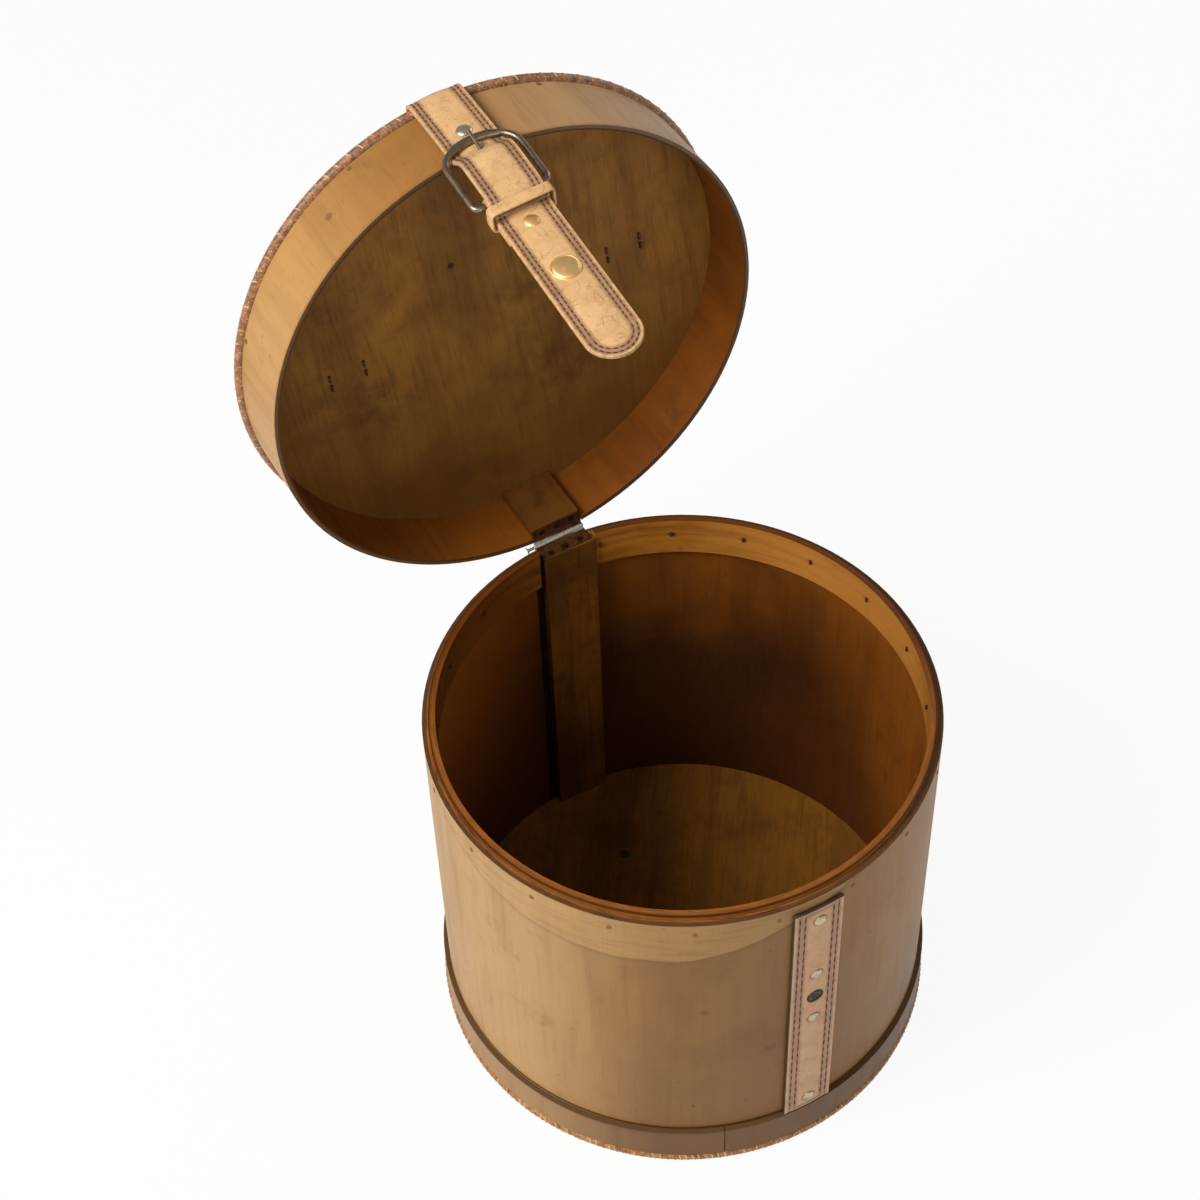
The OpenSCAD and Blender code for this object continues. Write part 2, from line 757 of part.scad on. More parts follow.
module strap_tongue() {
    color("#d3ad7d") strap_pose() difference() {
        leather(tongue_path, strap_w - 1, strap_t);
        for (shift = [-1, 1]) {
            s = prong_slot_s + shift * (prong_slot_l - prong_slot_w) / 2;
            on_strap(s, -strap_t) cylinder(r = prong_slot_w / 2, h = tongue_n + 3 * strap_t, $fn = 32);
        }
        straight = prong_slot_l - prong_slot_w;
        translate([-prong_slot_w / 2, -tongue_n - 2 * strap_t, -prong_slot_s - straight / 2])
            cube([prong_slot_w, tongue_n + 3 * strap_t, straight]);
    }
}

// Straight run of wire between two places on the buckle, in x and s
module wire(from, to) {
    d = to - from;
    translate([from[0], 0, -from[1]]) rotate([0, atan2(d[0], -d[1]), 0])
        cylinder(r = wire_r, h = norm(d), $fn = 32);
}

// Bent run of wire about a centre in x and s, between two angles from the nose
module bent_wire(centre, r, from, to) {
    translate([centre[0], 0, -centre[1]]) rotate([90, 0, 0]) rotate(90 - to)
        rotate_extrude(angle = to - from) translate([r, 0]) circle(r = wire_r, $fn = 32);
}

// Ball that joins two runs of wire
module wire_joint(place) {
    translate([place[0], 0, -place[1]]) sphere(r = wire_r + joint_swell, $fn = 32);
}

module buckle_frame() {
    color("#6f6a66") strap_pose() translate([0, -wire_n, 0]) {
        bent_wire([0, nose_s + nose_r], nose_r, -nose_angle, nose_angle);
        for (side = [-1, 1]) {
            from = side > 0 ? nose_angle : -90;
            bent_wire([side * corner_x, corner_s], buckle_corner_r, from, from + 90 - nose_angle);
            wire([side * buckle_half, corner_s], [side * buckle_half, bar_s]);
            wire_joint([side * nose_end[0], nose_end[1]]);
            wire_joint([side * buckle_half, corner_s]);
            wire_joint([side * buckle_half, bar_s]);
        }
        wire([-buckle_half, bar_s], [buckle_half, bar_s]);
    }
}

module buckle_prong() {
    from = [bar_s - prong_loop_r + prong_r / 2, wire_n + prong_r];
    to = [prong_tip_s, prong_tip_n];
    d = to - from;
    color("#8b8680") strap_pose() {
        difference() {
            on_prong_loop() cylinder(r = prong_loop_r + prong_r, h = prong_loop_l, $fn = 48);
            on_prong_loop(past) cylinder(r = wire_r + 0.08, h = prong_loop_l + 2 * past, $fn = 48);
        }
        translate([0, -from[1], -from[0]]) rotate([atan2(d[1], -d[0]), 0, 0])
            cylinder(r = prong_r, h = norm(d), $fn = 32);
        translate([0, -to[1], -to[0]]) sphere(r = prong_r, $fn = 32);
    }
}

// The prong's loop lies round the buckle's bar
module on_prong_loop(before = 0) {
    translate([-prong_loop_l / 2 - before, -wire_n, -bar_s]) rotate([0, 90, 0]) children();
}

fold_path = concat(
    [[tab_s - strap_split, tab_n]],
    [for (i = [0:8]) let (s = fold_drop + (bar_s - fold_drop) * i / 8) [s, fold_n(s)]],
    [for (p = arc([0, 0], fold_r, 75, -75, 10)) [bar_s - p[0], wire_n + p[1]]],
    [for (i = [0:8]) let (u = i / 8)
        [bar_s + (fold_drop - bar_s) * u, wire_n - fold_r + (return_n - wire_n + fold_r) * ease(u)]],
    [[return_end, return_n]]
);

module fold_strap() {
    color("#cfa878") strap_pose() difference() {
        leather(fold_path, strap_w, strap_t);
        translate([-fold_slot_w / 2, -wire_n - 2 * fold_r, -bar_s - prong_loop_r - prong_r - 0.6])
            cube([fold_slot_w, 4 * fold_r, prong_loop_r + prong_r + 0.6 + 2 * fold_r]);
        on_strap(fold_rivet_s, -fold_r) cylinder(r = shank_r + nail_gap, h = 3 * fold_r, $fn = 32);
    }
}

module fold_rivet() {
    color("#b59a4e") strap_pose() on_strap(fold_rivet_s, tab_n + strap_half) mirror([0, 0, 1])
        rivet(fold_rivet_r, fold_dome_h, layer + strap_t);
}

module keeper_loop() {
    outer_half = keeper_half + keeper_t;
    color("#cba273") strap_pose() difference() {
        translate([-outer_half, -keeper_top_n - keeper_t, -keeper_s - keeper_l])
            cube([2 * outer_half, keeper_top_n - keeper_low_n + 2 * keeper_t, keeper_l]);
        translate([-keeper_half, -keeper_top_n, -keeper_s - keeper_l - past])
            cube([2 * keeper_half, keeper_top_n - keeper_low_n, keeper_l + 2 * past]);
    }
}

// Snap tab, with a round tip
module snap_tab() {
    start = tab_s + strap_split;
    round_r = strap_w / 2;
    color("#cfa878") strap_pose() difference() {
        on_strap(0, tab_n - strap_half) union() {
            translate([-round_r, -tip_s + round_r, 0]) cube([strap_w, tip_s - round_r - start, strap_t]);
            translate([0, -tip_s + round_r, 0]) cylinder(r = round_r, h = strap_t);
        }
        on_strap(cap_s, tab_n - strap_t) cylinder(r = post_r + nail_gap, h = 2 * strap_t, $fn = 48);
    }
}

module snap_cap() {
    edge_h = 0.5;
    color("#b59a4e") strap_pose() on_strap(cap_s, tab_n + strap_half + nail_gap) {
        cylinder(r = cap_d / 2, h = edge_h);
        translate([0, 0, edge_h]) mirror([0, 0, 1]) dome(cap_d / 2, cap_h - edge_h);
    }
}

// Inner half of the press stud: shank through the tab, base and post
module snap_stud() {
    base_n = tab_n - strap_half - nail_gap;
    color("#9c8748") strap_pose() {
        on_strap(cap_s, base_n) cylinder(r = post_r, h = strap_t + nail_gap, $fn = 48);
        on_strap(cap_s, base_n - cap_base_h) cylinder(r = cap_base_r, h = cap_base_h, $fn = 48);
        on_strap(cap_s, base_n - post_l) cylinder(r = post_r, h = post_l, $fn = 48);
    }
}

body_wall();
rim_lining();
seam_batten();
floor_board();
base_band();
base_trim();
lining_nails();
batten_nails();
floor_nails();
catch_strap();
catch_strap_rivets();
snap_socket();
hinge_leaf_case();
hinge_pin();
hinge_screws_case();
lid_wall();
lid_board();
lid_trim();
lid_nails();
lid_cleat();
hinge_leaf_lid();
hinge_screws_lid();
lid_strap();
lid_strap_rivet();
handle_strap();
handle_staples();
strap_tongue();
buckle_frame();
buckle_prong();
keeper_loop();
fold_strap();
fold_rivet();
snap_tab();
snap_cap();
snap_stud();
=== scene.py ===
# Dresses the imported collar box: bent veneer, bound edges, stitched straps and worn metal.
# All lengths are metres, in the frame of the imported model.
import bisect
import math
import random

import bmesh
import bpy
from mathutils import Matrix, Vector


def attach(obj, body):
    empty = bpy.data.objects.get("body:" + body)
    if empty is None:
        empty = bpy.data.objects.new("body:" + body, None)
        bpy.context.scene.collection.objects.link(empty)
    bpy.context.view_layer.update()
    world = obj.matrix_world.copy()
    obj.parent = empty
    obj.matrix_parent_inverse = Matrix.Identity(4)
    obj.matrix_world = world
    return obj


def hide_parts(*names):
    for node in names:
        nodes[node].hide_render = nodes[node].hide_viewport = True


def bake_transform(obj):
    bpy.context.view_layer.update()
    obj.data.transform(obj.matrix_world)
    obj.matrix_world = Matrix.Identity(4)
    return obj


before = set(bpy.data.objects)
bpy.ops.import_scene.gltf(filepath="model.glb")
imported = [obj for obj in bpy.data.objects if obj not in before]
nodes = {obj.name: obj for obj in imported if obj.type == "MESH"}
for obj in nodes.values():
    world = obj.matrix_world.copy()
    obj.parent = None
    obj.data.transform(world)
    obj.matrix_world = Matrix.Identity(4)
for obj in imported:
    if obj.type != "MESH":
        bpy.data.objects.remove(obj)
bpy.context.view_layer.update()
mm = 0.001


# Colour as a picture shows it, each part from 0 to 255
def paint(r, g, b):
    def linear(c):
        c = c / 255
        return c / 12.92 if c <= 0.04045 else ((c + 0.055) / 1.055) ** 2.4
    return (linear(r), linear(g), linear(b), 1.0)


# One output of a material's nodes, with the arithmetic of plain numbers
class Wire:
    def __init__(self, finish, socket):
        self.finish, self.socket = finish, socket

    def calc(self, operation, *values):
        inputs = dict(enumerate(values))
        return self.finish.add("Math", {"operation": operation}, inputs)

    def __add__(self, other): return self.calc("ADD", self, other)
    def __radd__(self, other): return self.calc("ADD", other, self)
    def __sub__(self, other): return self.calc("SUBTRACT", self, other)
    def __rsub__(self, other): return self.calc("SUBTRACT", other, self)
    def __mul__(self, other): return self.calc("MULTIPLY", self, other)
    def __rmul__(self, other): return self.calc("MULTIPLY", other, self)
    def __truediv__(self, other): return self.calc("DIVIDE", self, other)
    def __rtruediv__(self, other): return self.calc("DIVIDE", other, self)
    def __pow__(self, other): return self.calc("POWER", self, other)
    def __neg__(self): return self.calc("MULTIPLY", self, -1.0)


# A material, built from expressions
class Finish:
    def __init__(self, name):
        self.material = bpy.data.materials.new(name)
        self.material.use_nodes = True
        self.tree = self.material.node_tree
        self.tree.nodes.clear()

    # kind: node type; settings are set first, then the values or links of its inputs
    def add(self, kind, settings=None, inputs=None, out=0):
        node = self.tree.nodes.new("ShaderNode" + kind)
        for key, value in (settings or {}).items():
            if key == "stops":
                ramp = node.color_ramp.elements
                while len(ramp) < len(value):
                    ramp.new(0.5)
                for stop, (place, colour) in zip(ramp, value):
                    stop.position, stop.color = place, colour
            else:
                setattr(node, key, value)
        for key, value in (inputs or {}).items():
            socket = node.inputs[key]
            if isinstance(value, Wire):
                self.tree.links.new(value.socket, socket)
            else:
                socket.default_value = value
        return Wire(self, node.outputs[out]) if node.outputs else None

    def mix(self, amount, a, b, blend="MIX"):
        settings = {"data_type": "RGBA", "blend_type": blend, "clamp_factor": True}
        return self.add("Mix", settings, {0: amount, 6: a, 7: b}, out=2)

    # 0 below low, 1 above high, smooth between
    def step(self, value, low, high):
        inputs = {"Value": value, "From Min": low, "From Max": high}
        return self.add("MapRange", {"interpolation_type": "SMOOTHSTEP"}, inputs)

    def scaled(self, vector, x, y, z):
        return self.add("VectorMath", {"operation": "MULTIPLY"}, {0: vector, 1: (x, y, z)})

    def noise(self, vector, scale=1.0, detail=4.0, rough=0.55, warp=0.0):
        inputs = {"Vector": vector, "Scale": scale, "Detail": detail, "Roughness": rough, "Distortion": warp}
        return self.add("TexNoise", None, inputs)

    def vector(self, x, y, z):
        return self.add("CombineXYZ", None, {0: x, 1: y, 2: z})

    # A place moved about a little by noise
    def wobble(self, vector, scale, amount):
        colour = self.add("TexNoise", None, {"Vector": vector, "Scale": scale, "Detail": 2.0}, out=1)
        return self.add("VectorMath", {"operation": "ADD"}, {0: vector, 1: self.scaled(colour, amount, amount, 0.0)})

    # The piece's own place, turned back to where it lies with the lid shut
    def place(self, pose=None):
        here = self.add("TexCoord", out=3)
        if pose is None:
            return here
        back = pose.inverted()
        inputs = {"Vector": here, "Location": back.to_translation(), "Rotation": back.to_euler()}
        return self.add("Mapping", None, inputs)

    def parts(self, vector):
        node = self.add("SeparateXYZ", None, {0: vector}).socket.node
        return [Wire(self, node.outputs[i]) for i in range(3)]

    # Dark where the value is near zero, for round marks at given places
    def spot(self, vector, centre, radius, soft=0.5):
        gap = self.add("VectorMath", {"operation": "DISTANCE"}, {0: vector, 1: centre}, out=1)
        return 1.0 - self.step(gap, radius * soft, radius)

    def bump(self, height, depth, base=None):
        inputs = {"Height": height, "Strength": 1.0, "Distance": depth}
        if base is not None:
            inputs["Normal"] = base
        return self.add("Bump", None, inputs)

    def done(self, colour, rough, normal=None, metal=0.0, coat=None, coatRough=0.3, shine=0.5):
        inputs = {"Base Color": colour, "Roughness": rough, "Metallic": metal, "Specular IOR Level": shine}
        if normal is not None:
            inputs["Normal"] = normal
        if coat is not None:
            inputs["Coat Weight"] = coat
            inputs["Coat Roughness"] = coatRough
        shader = self.add("BsdfPrincipled", None, inputs)
        self.add("OutputMaterial", None, {"Surface": shader})
        return self.material


# Where the lid and its strap hang
hinge = {"at": Vector((0, 0.120, 0.200)), "yaw": 2.5, "lean": 2.5, "open": 93.0}
hang = {"out": 0.1204, "bend": 0.207, "droop": 8.6}
yaw, lean = math.radians(hinge["yaw"]), math.radians(hinge["lean"])
hingeLine = Vector((math.cos(yaw) * math.cos(lean), math.sin(yaw) * math.cos(lean), math.sin(lean)))
toHinge = Matrix.Translation(hinge["at"])
lidPose = toHinge @ Matrix.Rotation(-math.radians(hinge["open"]), 4, hingeLine) @ toHinge.inverted()
droop = math.radians(hang["droop"])


# Camera, fitted to the rims in the photograph
view = {"azimuth": -26.771, "elevation": 49.512, "roll": -2.243, "from": (-0.35997, -0.63539, 1.13143), "lens": 78.24}


def aimCamera():
    a, e, r = (math.radians(view[k]) for k in ("azimuth", "elevation", "roll"))
    back = Vector((math.sin(a) * math.cos(e), -math.cos(a) * math.cos(e), math.sin(e)))
    level = Vector((math.cos(a), math.sin(a), 0))
    upright = back.cross(level)
    right = math.cos(r) * level + math.sin(r) * upright
    up = -math.sin(r) * level + math.cos(r) * upright
    data = bpy.data.cameras.new("camera")
    data.lens, data.sensor_width, data.clip_end = view["lens"], 36.0, 20.0
    camera = bpy.data.objects.new("camera", data)
    bpy.context.scene.collection.objects.link(camera)
    camera.matrix_world = Matrix.Translation(view["from"]) @ Matrix((right, up, back)).transposed().to_4x4()
    bpy.context.scene.camera = camera


aimCamera()
print("camera is set")


# Pieces from bmesh
def linkPiece(name, bm, finishes, body, replaced=(), pose=None, sharp=40):
    mesh = bpy.data.meshes.new(name)
    bmesh.ops.recalc_face_normals(bm, faces=bm.faces)
    bm.to_mesh(mesh)
    bm.free()
    if pose is not None:
        mesh.transform(pose)
    for polygon in mesh.polygons:
        polygon.use_smooth = True
    mesh.set_sharp_from_angle(angle=math.radians(sharp))
    for material in finishes:
        mesh.materials.append(material)
    piece = bpy.data.objects.new(name, mesh)
    bpy.context.scene.collection.objects.link(piece)
    if isinstance(body, str):
        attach(piece, body)
    else:
        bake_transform(piece)
    if replaced:
        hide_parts(*replaced)
    return piece


# Turns a profile of (radius, height) round the z axis
def lathe(profile, steps, closed=False):
    bm = bmesh.new()
    ring = [bm.verts.new((r, 0, z)) for r, z in profile]
    pairs = list(zip(ring, ring[1:])) + ([(ring[-1], ring[0])] if closed else [])
    edges = [bm.edges.new(pair) for pair in pairs]
    bmesh.ops.spin(bm, geom=ring + edges, cent=(0, 0, 0), axis=(0, 0, 1), angle=2 * math.pi,
                   steps=steps, use_merge=True, use_normal_flip=False, use_duplicate=False)
    bmesh.ops.remove_doubles(bm, verts=bm.verts, dist=1e-6)
    return bm


# Round head with a flat underside, as (radius, height) points
def headProfile(radius, height, lip, count=7):
    points = [(0.0, 0.0), (radius * 0.94, 0.0), (radius, lip * 0.3)]
    for i in range(count, -1, -1):
        angle = i / count * math.pi / 2
        points.append((radius * math.sin(angle), lip + (height - lip) * math.cos(angle)))
    return points


# Axis outward from the front, leaning by tilt in degrees; x is to the right
def frontPose(x, out, z, tilt=0.0):
    return Matrix.Translation((x, -out, z)) @ Matrix.Rotation(math.radians(90 + tilt), 4, "X")


# Place on the hanging strap as it droops: s down from its bend, n outward
def hangPose(s, n, x=0.0):
    out = hang["out"] + n * math.cos(droop) - s * math.sin(droop)
    z = hang["bend"] - n * math.sin(droop) - s * math.cos(droop)
    return lidPose @ frontPose(x, out, z, hang["droop"])


# Wood finishes, with lit and shaded copies of the wall tones as painted light and shade
woods = {
    "outside": paint(140, 97, 47), "outsideDark": paint(120, 82, 38), "outsideGrain": paint(100, 68, 36),
    "litLeft": paint(190, 148, 94), "shaded": paint(166, 122, 68), "lidMain": paint(160, 110, 55),
    "lidDark": paint(142, 96, 46), "lidLitLeft": paint(186, 141, 84), "lidShaded": paint(208, 168, 124),
    "bandMain": paint(126, 86, 40), "bandDark": paint(98, 68, 36), "bandLitLeft": paint(168, 130, 84),
    "band": paint(186, 144, 88), "inside": paint(128, 70, 12), "insideDark": paint(84, 40, 5),
    "insideWarm": paint(150, 84, 18), "insideShade": paint(34, 12, 1), "lining": paint(172, 110, 38),
    "liningDark": paint(124, 68, 16), "liningLitRight": paint(206, 140, 66), "board": paint(156, 105, 40), "boardDark": paint(108, 68, 22),
    "boardWarm": paint(164, 112, 44), "floor": paint(140, 90, 24), "floorDark": paint(96, 58, 12),
    "floorWarm": paint(154, 100, 32), "edge": paint(156, 92, 36), "innerEdge": paint(118, 70, 30), "outerEdge": paint(84, 55, 30), "sootAndShadow": paint(44, 26, 12), "gapDirtAndShadow": paint(12, 7, 3),
    "batten": paint(118, 72, 18), "battenDark": paint(66, 36, 6), "battenWarm": paint(136, 86, 28),
}


# Fine, medium and broad streaks that run along the second direction
def streaks(f, across, along, seed=0.0):
    fine = f.noise(f.vector(across * 1300.0, along * 60.0, seed), detail=3)
    medium = f.noise(f.vector(across * 260.0, along * 16.0, seed + 3.0), detail=4)
    broad = f.noise(f.vector(across * 50.0, along * 5.0, seed + 7.0), detail=2)
    return fine, medium, broad


# Angle round from the front, and distance from the axis
def roundPlace(f, place):
    x, y, z = f.parts(place)
    out = f.add("VectorMath", {"operation": "LENGTH"}, {0: f.vector(x, y, 0.0)}, out=1)
    return out, x.calc("ARCTAN2", x, -y), z


# Painted shade inside, deepest at the back and low down
def paintedBackShade(f, angle, z, cloud):
    turned = angle - math.radians(162)
    facing = f.step(turned.calc("COSINE", turned) + (cloud - 0.5) * 0.9, 0.05, 0.8)
    return facing * (1.0 - f.step(z + (cloud - 0.5) * 0.05, 0.095, 0.185) * 0.8)


# Bent veneer: outer face, inner face and cut edge
def bentVeneer(name, radius, thick, edge, pose=None, band=None, seed=0.0, marks=(),
               tones=("outside", "outsideDark", "litLeft", "shaded"), leftLightWindow=(0.5, 1.0)):
    f = Finish(name)
    place = f.place(pose)
    out, angle, z = roundPlace(f, place)
    arc = angle * radius
    fine, medium, broad = streaks(f, arc, z, seed)
    cloud = f.noise(place, 15.0, detail=4, rough=0.6, warp=0.5)
    smudge = f.noise(place, 48.0, detail=5, rough=0.68)
    speck = f.noise(place, 260.0, detail=2)
    main, dark, litLeft, shaded = (woods[t] for t in tones)
    toLeft, toRight = angle + math.pi / 2, angle - 1.0
    outside = f.mix(f.step(cloud, 0.4, 0.66) * 0.7, main, dark)
    # Painted light and shade: the wall is lighter toward the lit left side, and mixed toward its shaded tone on the
    # right
    outside = f.mix(f.step(toLeft.calc("COSINE", toLeft), *leftLightWindow) * 0.9, outside, litLeft)
    outside = f.mix(f.step(toRight.calc("COSINE", toRight), 0.45, 1.0) * 0.75, outside, shaded)
    outside = f.mix(f.step(broad, 0.45, 0.7) * 0.3, outside, dark)
    outside = f.mix(f.step(medium, 0.5, 0.78) * 0.2, outside, woods["outsideGrain"])
    outside = f.mix(f.step(smudge, 0.56, 0.76) * 0.3, outside, woods["outsideGrain"])
    # Darker towards the bottom, except on the lit left side
    low = 1.0 - f.step(z + (cloud - 0.5) * 0.03, 0.03, 0.13)
    outside = f.mix(low * (1.0 - f.step(toLeft.calc("COSINE", toLeft), *leftLightWindow)) * 0.4, outside, dark)
    if band:
        wave = f.noise(f.vector(arc * 14.0, z * 3.0, 1.0), detail=2)
        aside = (angle - band["angle"]) / band["spread"]
        low = band["edge"] + (wave - 0.5) * 0.012 + aside * aside * band["rise"]
        sweep = f.noise(f.vector(arc * 30.0, z * 520.0, 2.0), detail=4, warp=0.9)
        light = f.step(z, low - 0.0004, low + 0.001)
        rim = f.step(z, low - 0.004, low - 0.0004) * (1.0 - light)
        outside = f.mix(light * 0.5, outside, woods["band"])
        outside = f.mix(light * f.step(sweep, 0.5, 0.66) * 0.3, outside, woods["outsideDark"])
        outside = f.mix(rim * 0.25, outside, woods["outsideGrain"])
    # Painted shadow: a dark line on the wall just above the base band
    grimeAndShadowLine = f.step(z, 0.0262, 0.0268) * (1.0 - f.step(z, 0.0274, 0.0292))
    outside = f.mix(grimeAndShadowLine * 0.85, outside, woods["sootAndShadow"])
    for at, size in marks:
        outside = f.mix(f.spot(place, at, size) * 0.55, outside, woods["outsideGrain"])
    plank = f.step(f.noise(f.vector(arc * 40.0, z * 4.0, seed + 5.0), detail=3), 0.4, 0.62)
    inside = f.mix(plank * 0.4, woods["inside"], woods["insideDark"])
    inside = f.mix(f.step(cloud, 0.4, 0.66) * 0.5, inside, woods["insideWarm"])
    inside = f.mix(f.step(medium, 0.48, 0.76) * 0.35, inside, woods["insideDark"])
    inside = f.mix(f.step(smudge, 0.52, 0.74) * 0.4, inside, woods["insideDark"])
    chip = f.noise(place, 420.0, detail=1)
    inside = f.mix(f.step(chip, 0.77, 0.8) * 0.6, inside, woods["edge"])
    if not edge["dark"]:
        # Painted shade, deepest at the back and low down
        inside = f.mix(paintedBackShade(f, angle, z, cloud) * 0.85, inside, woods["insideShade"])
        # Painted light: the inner wall on the left side is lightened toward a warm tone
        litLeftInside = f.step((angle + 2.0).calc("COSINE", angle + 2.0), 0.5, 0.95)
        inside = f.mix(litLeftInside * 0.6, inside, woods["insideWarm"])
        # Painted shade: the inner wall is darker towards the floor
        inside = f.mix((1.0 - f.step(z, 0.02, 0.1)) * 0.5, inside, woods["insideDark"])
        # Near-black strip beside the batten: painted shadow in the gap, and dark dirt in the joint
        x, y, _ = f.parts(place)
        gap = f.step(x, -0.0162, -0.0156) * (1.0 - f.step(x, -0.0118, -0.0112)) * f.step(y, 0.05, 0.06)
        inside = f.mix(gap * 0.95, inside, woods["gapDirtAndShadow"])
    within = 1.0 - f.step(out, radius - thick * 0.75, radius - thick * 0.55)
    colour = f.mix(within, outside, inside)
    if edge["dark"]:
        stain = 1.0 - f.step(z, edge["z"], edge["z"] + 0.0022)
        colour = f.mix(stain * 0.35, colour, woods["outsideGrain"])
        colour = f.mix(1.0 - f.step(z, edge["z"] - 0.0002, edge["z"] + 0.0003), colour, woods["sootAndShadow"])
    else:
        broken = f.noise(f.vector(arc * 60.0, out * 1400.0, 3.0), detail=4, rough=0.7)
        top = f.step(z, edge["z"] - 0.0007, edge["z"] - 0.0002)
        outer = f.step(out + (broken - 0.5) * 0.0012, radius - 0.0023, radius - 0.0016)
        rimColour = f.mix(f.step(broken, 0.38, 0.6), woods["edge"], woods["innerEdge"])
        rimColour = f.mix(outer * 0.85, rimColour, woods["outerEdge"])
        rimColour = f.mix(f.step(broken, 0.54, 0.64) * 0.7, rimColour, woods["sootAndShadow"])
        # Painted shade: the rim's top edge is darker on the right side
        shadedRightRim = f.step(toRight.calc("COSINE", toRight), 0.4, 0.9)
        rimColour = f.mix(shadedRightRim * 0.6, rimColour, woods["outerEdge"])
        colour = f.mix(top, colour, woods["bandDark"] if edge.get("plain") else rimColour)
    colour = f.mix(f.step(fine, 0.5, 0.8) * 0.2, colour, woods["outsideGrain"])
    colour = f.mix(f.step(speck, 0.72, 0.78) * 0.5, colour, woods["sootAndShadow"])
    tiny = f.noise(place, 900.0, detail=2)
    rough = 0.5 + (medium - 0.5) * 0.16 + within * 0.1 + (smudge - 0.5) * 0.16
    height = fine * 0.5 + medium * 0.8 + tiny * 0.25
    return f.done(colour, rough, f.bump(height, 0.0001), coat=(1.0 - within) * 0.05, coatRough=0.4, shine=0.2)


# Lining: warm veneer with its grain round the rim, stained round the clenched nails, with painted shade on the left and
# painted light on the right
def liningVeneer(nailAngles, nailZ):
    f = Finish("liningVeneer")
    place = f.place()
    out, angle, z = roundPlace(f, place)
    arc = angle * 0.113
    fine, medium, broad = streaks(f, z, arc, 11.0)
    cloud = f.noise(place, 22.0, detail=4, rough=0.6)
    smudge = f.noise(place, 60.0, detail=5, rough=0.7)
    colour = f.mix(f.step(medium, 0.42, 0.7) * 0.8, woods["lining"], woods["liningDark"])
    colour = f.mix(f.step(cloud, 0.42, 0.66) * 0.6, colour, woods["inside"])
    colour = f.mix(f.step(smudge, 0.55, 0.72) * 0.4, colour, woods["insideDark"])
    # Painted shade: the lining is darker on the left side
    toLeft = angle + 2.1
    colour = f.mix(f.step(toLeft.calc("COSINE", toLeft), 0.2, 0.9) * 0.75, colour, woods["insideDark"])
    for nail in nailAngles:
        away = f.vector((angle - nail) * 0.113, (z - nailZ) * 2.2, 0.0)
        length = f.add("VectorMath", {"operation": "LENGTH"}, {0: away}, out=1)
        colour = f.mix((1.0 - f.step(length, 0.001, 0.0032)) * 0.75, colour, woods["sootAndShadow"])
    broken = f.noise(f.vector(arc * 80.0, out * 700.0, 5.0), detail=4, rough=0.7)
    top = f.step(z, 0.2024, 0.2029)
    # Painted light: the lining is lighter on the right side
    toRight = angle - 1.75
    colour = f.mix(f.step(toRight.calc("COSINE", toRight), 0.55, 1.0) * 0.5, colour, woods["liningLitRight"])
    rim = f.mix(f.step(broken, 0.4, 0.62), woods["edge"], woods["innerEdge"])
    rim = f.mix(0.35 + f.step(out, 0.1134, 0.114) * 0.5, rim, woods["liningDark"])
    # Painted shade: the lining's top edge is darker towards the back
    back = f.step(f.add("Math", {"operation": "ABSOLUTE"}, {0: angle + 0.5}), 1.3, 2.0)
    rim = f.mix(back * 0.8, rim, woods["insideDark"])
    colour = f.mix(top, colour, rim)
    # Painted shadow: a dark line on the outer face of the lining's lip, just above the wall's top
    seam = f.step(out, 0.1141, 0.1146) * f.step(z, 0.2015, 0.202)
    colour = f.mix(seam * 0.8, colour, woods["sootAndShadow"])
    colour = f.mix(f.step(fine, 0.55, 0.8) * 0.3, colour, woods["insideDark"])
    rough = 0.46 + (medium - 0.5) * 0.2 + (smudge - 0.5) * 0.15
    return f.done(colour, rough, f.bump(fine * 0.6 + medium, 0.00012), coat=0.06, coatRough=0.35, shine=0.2)


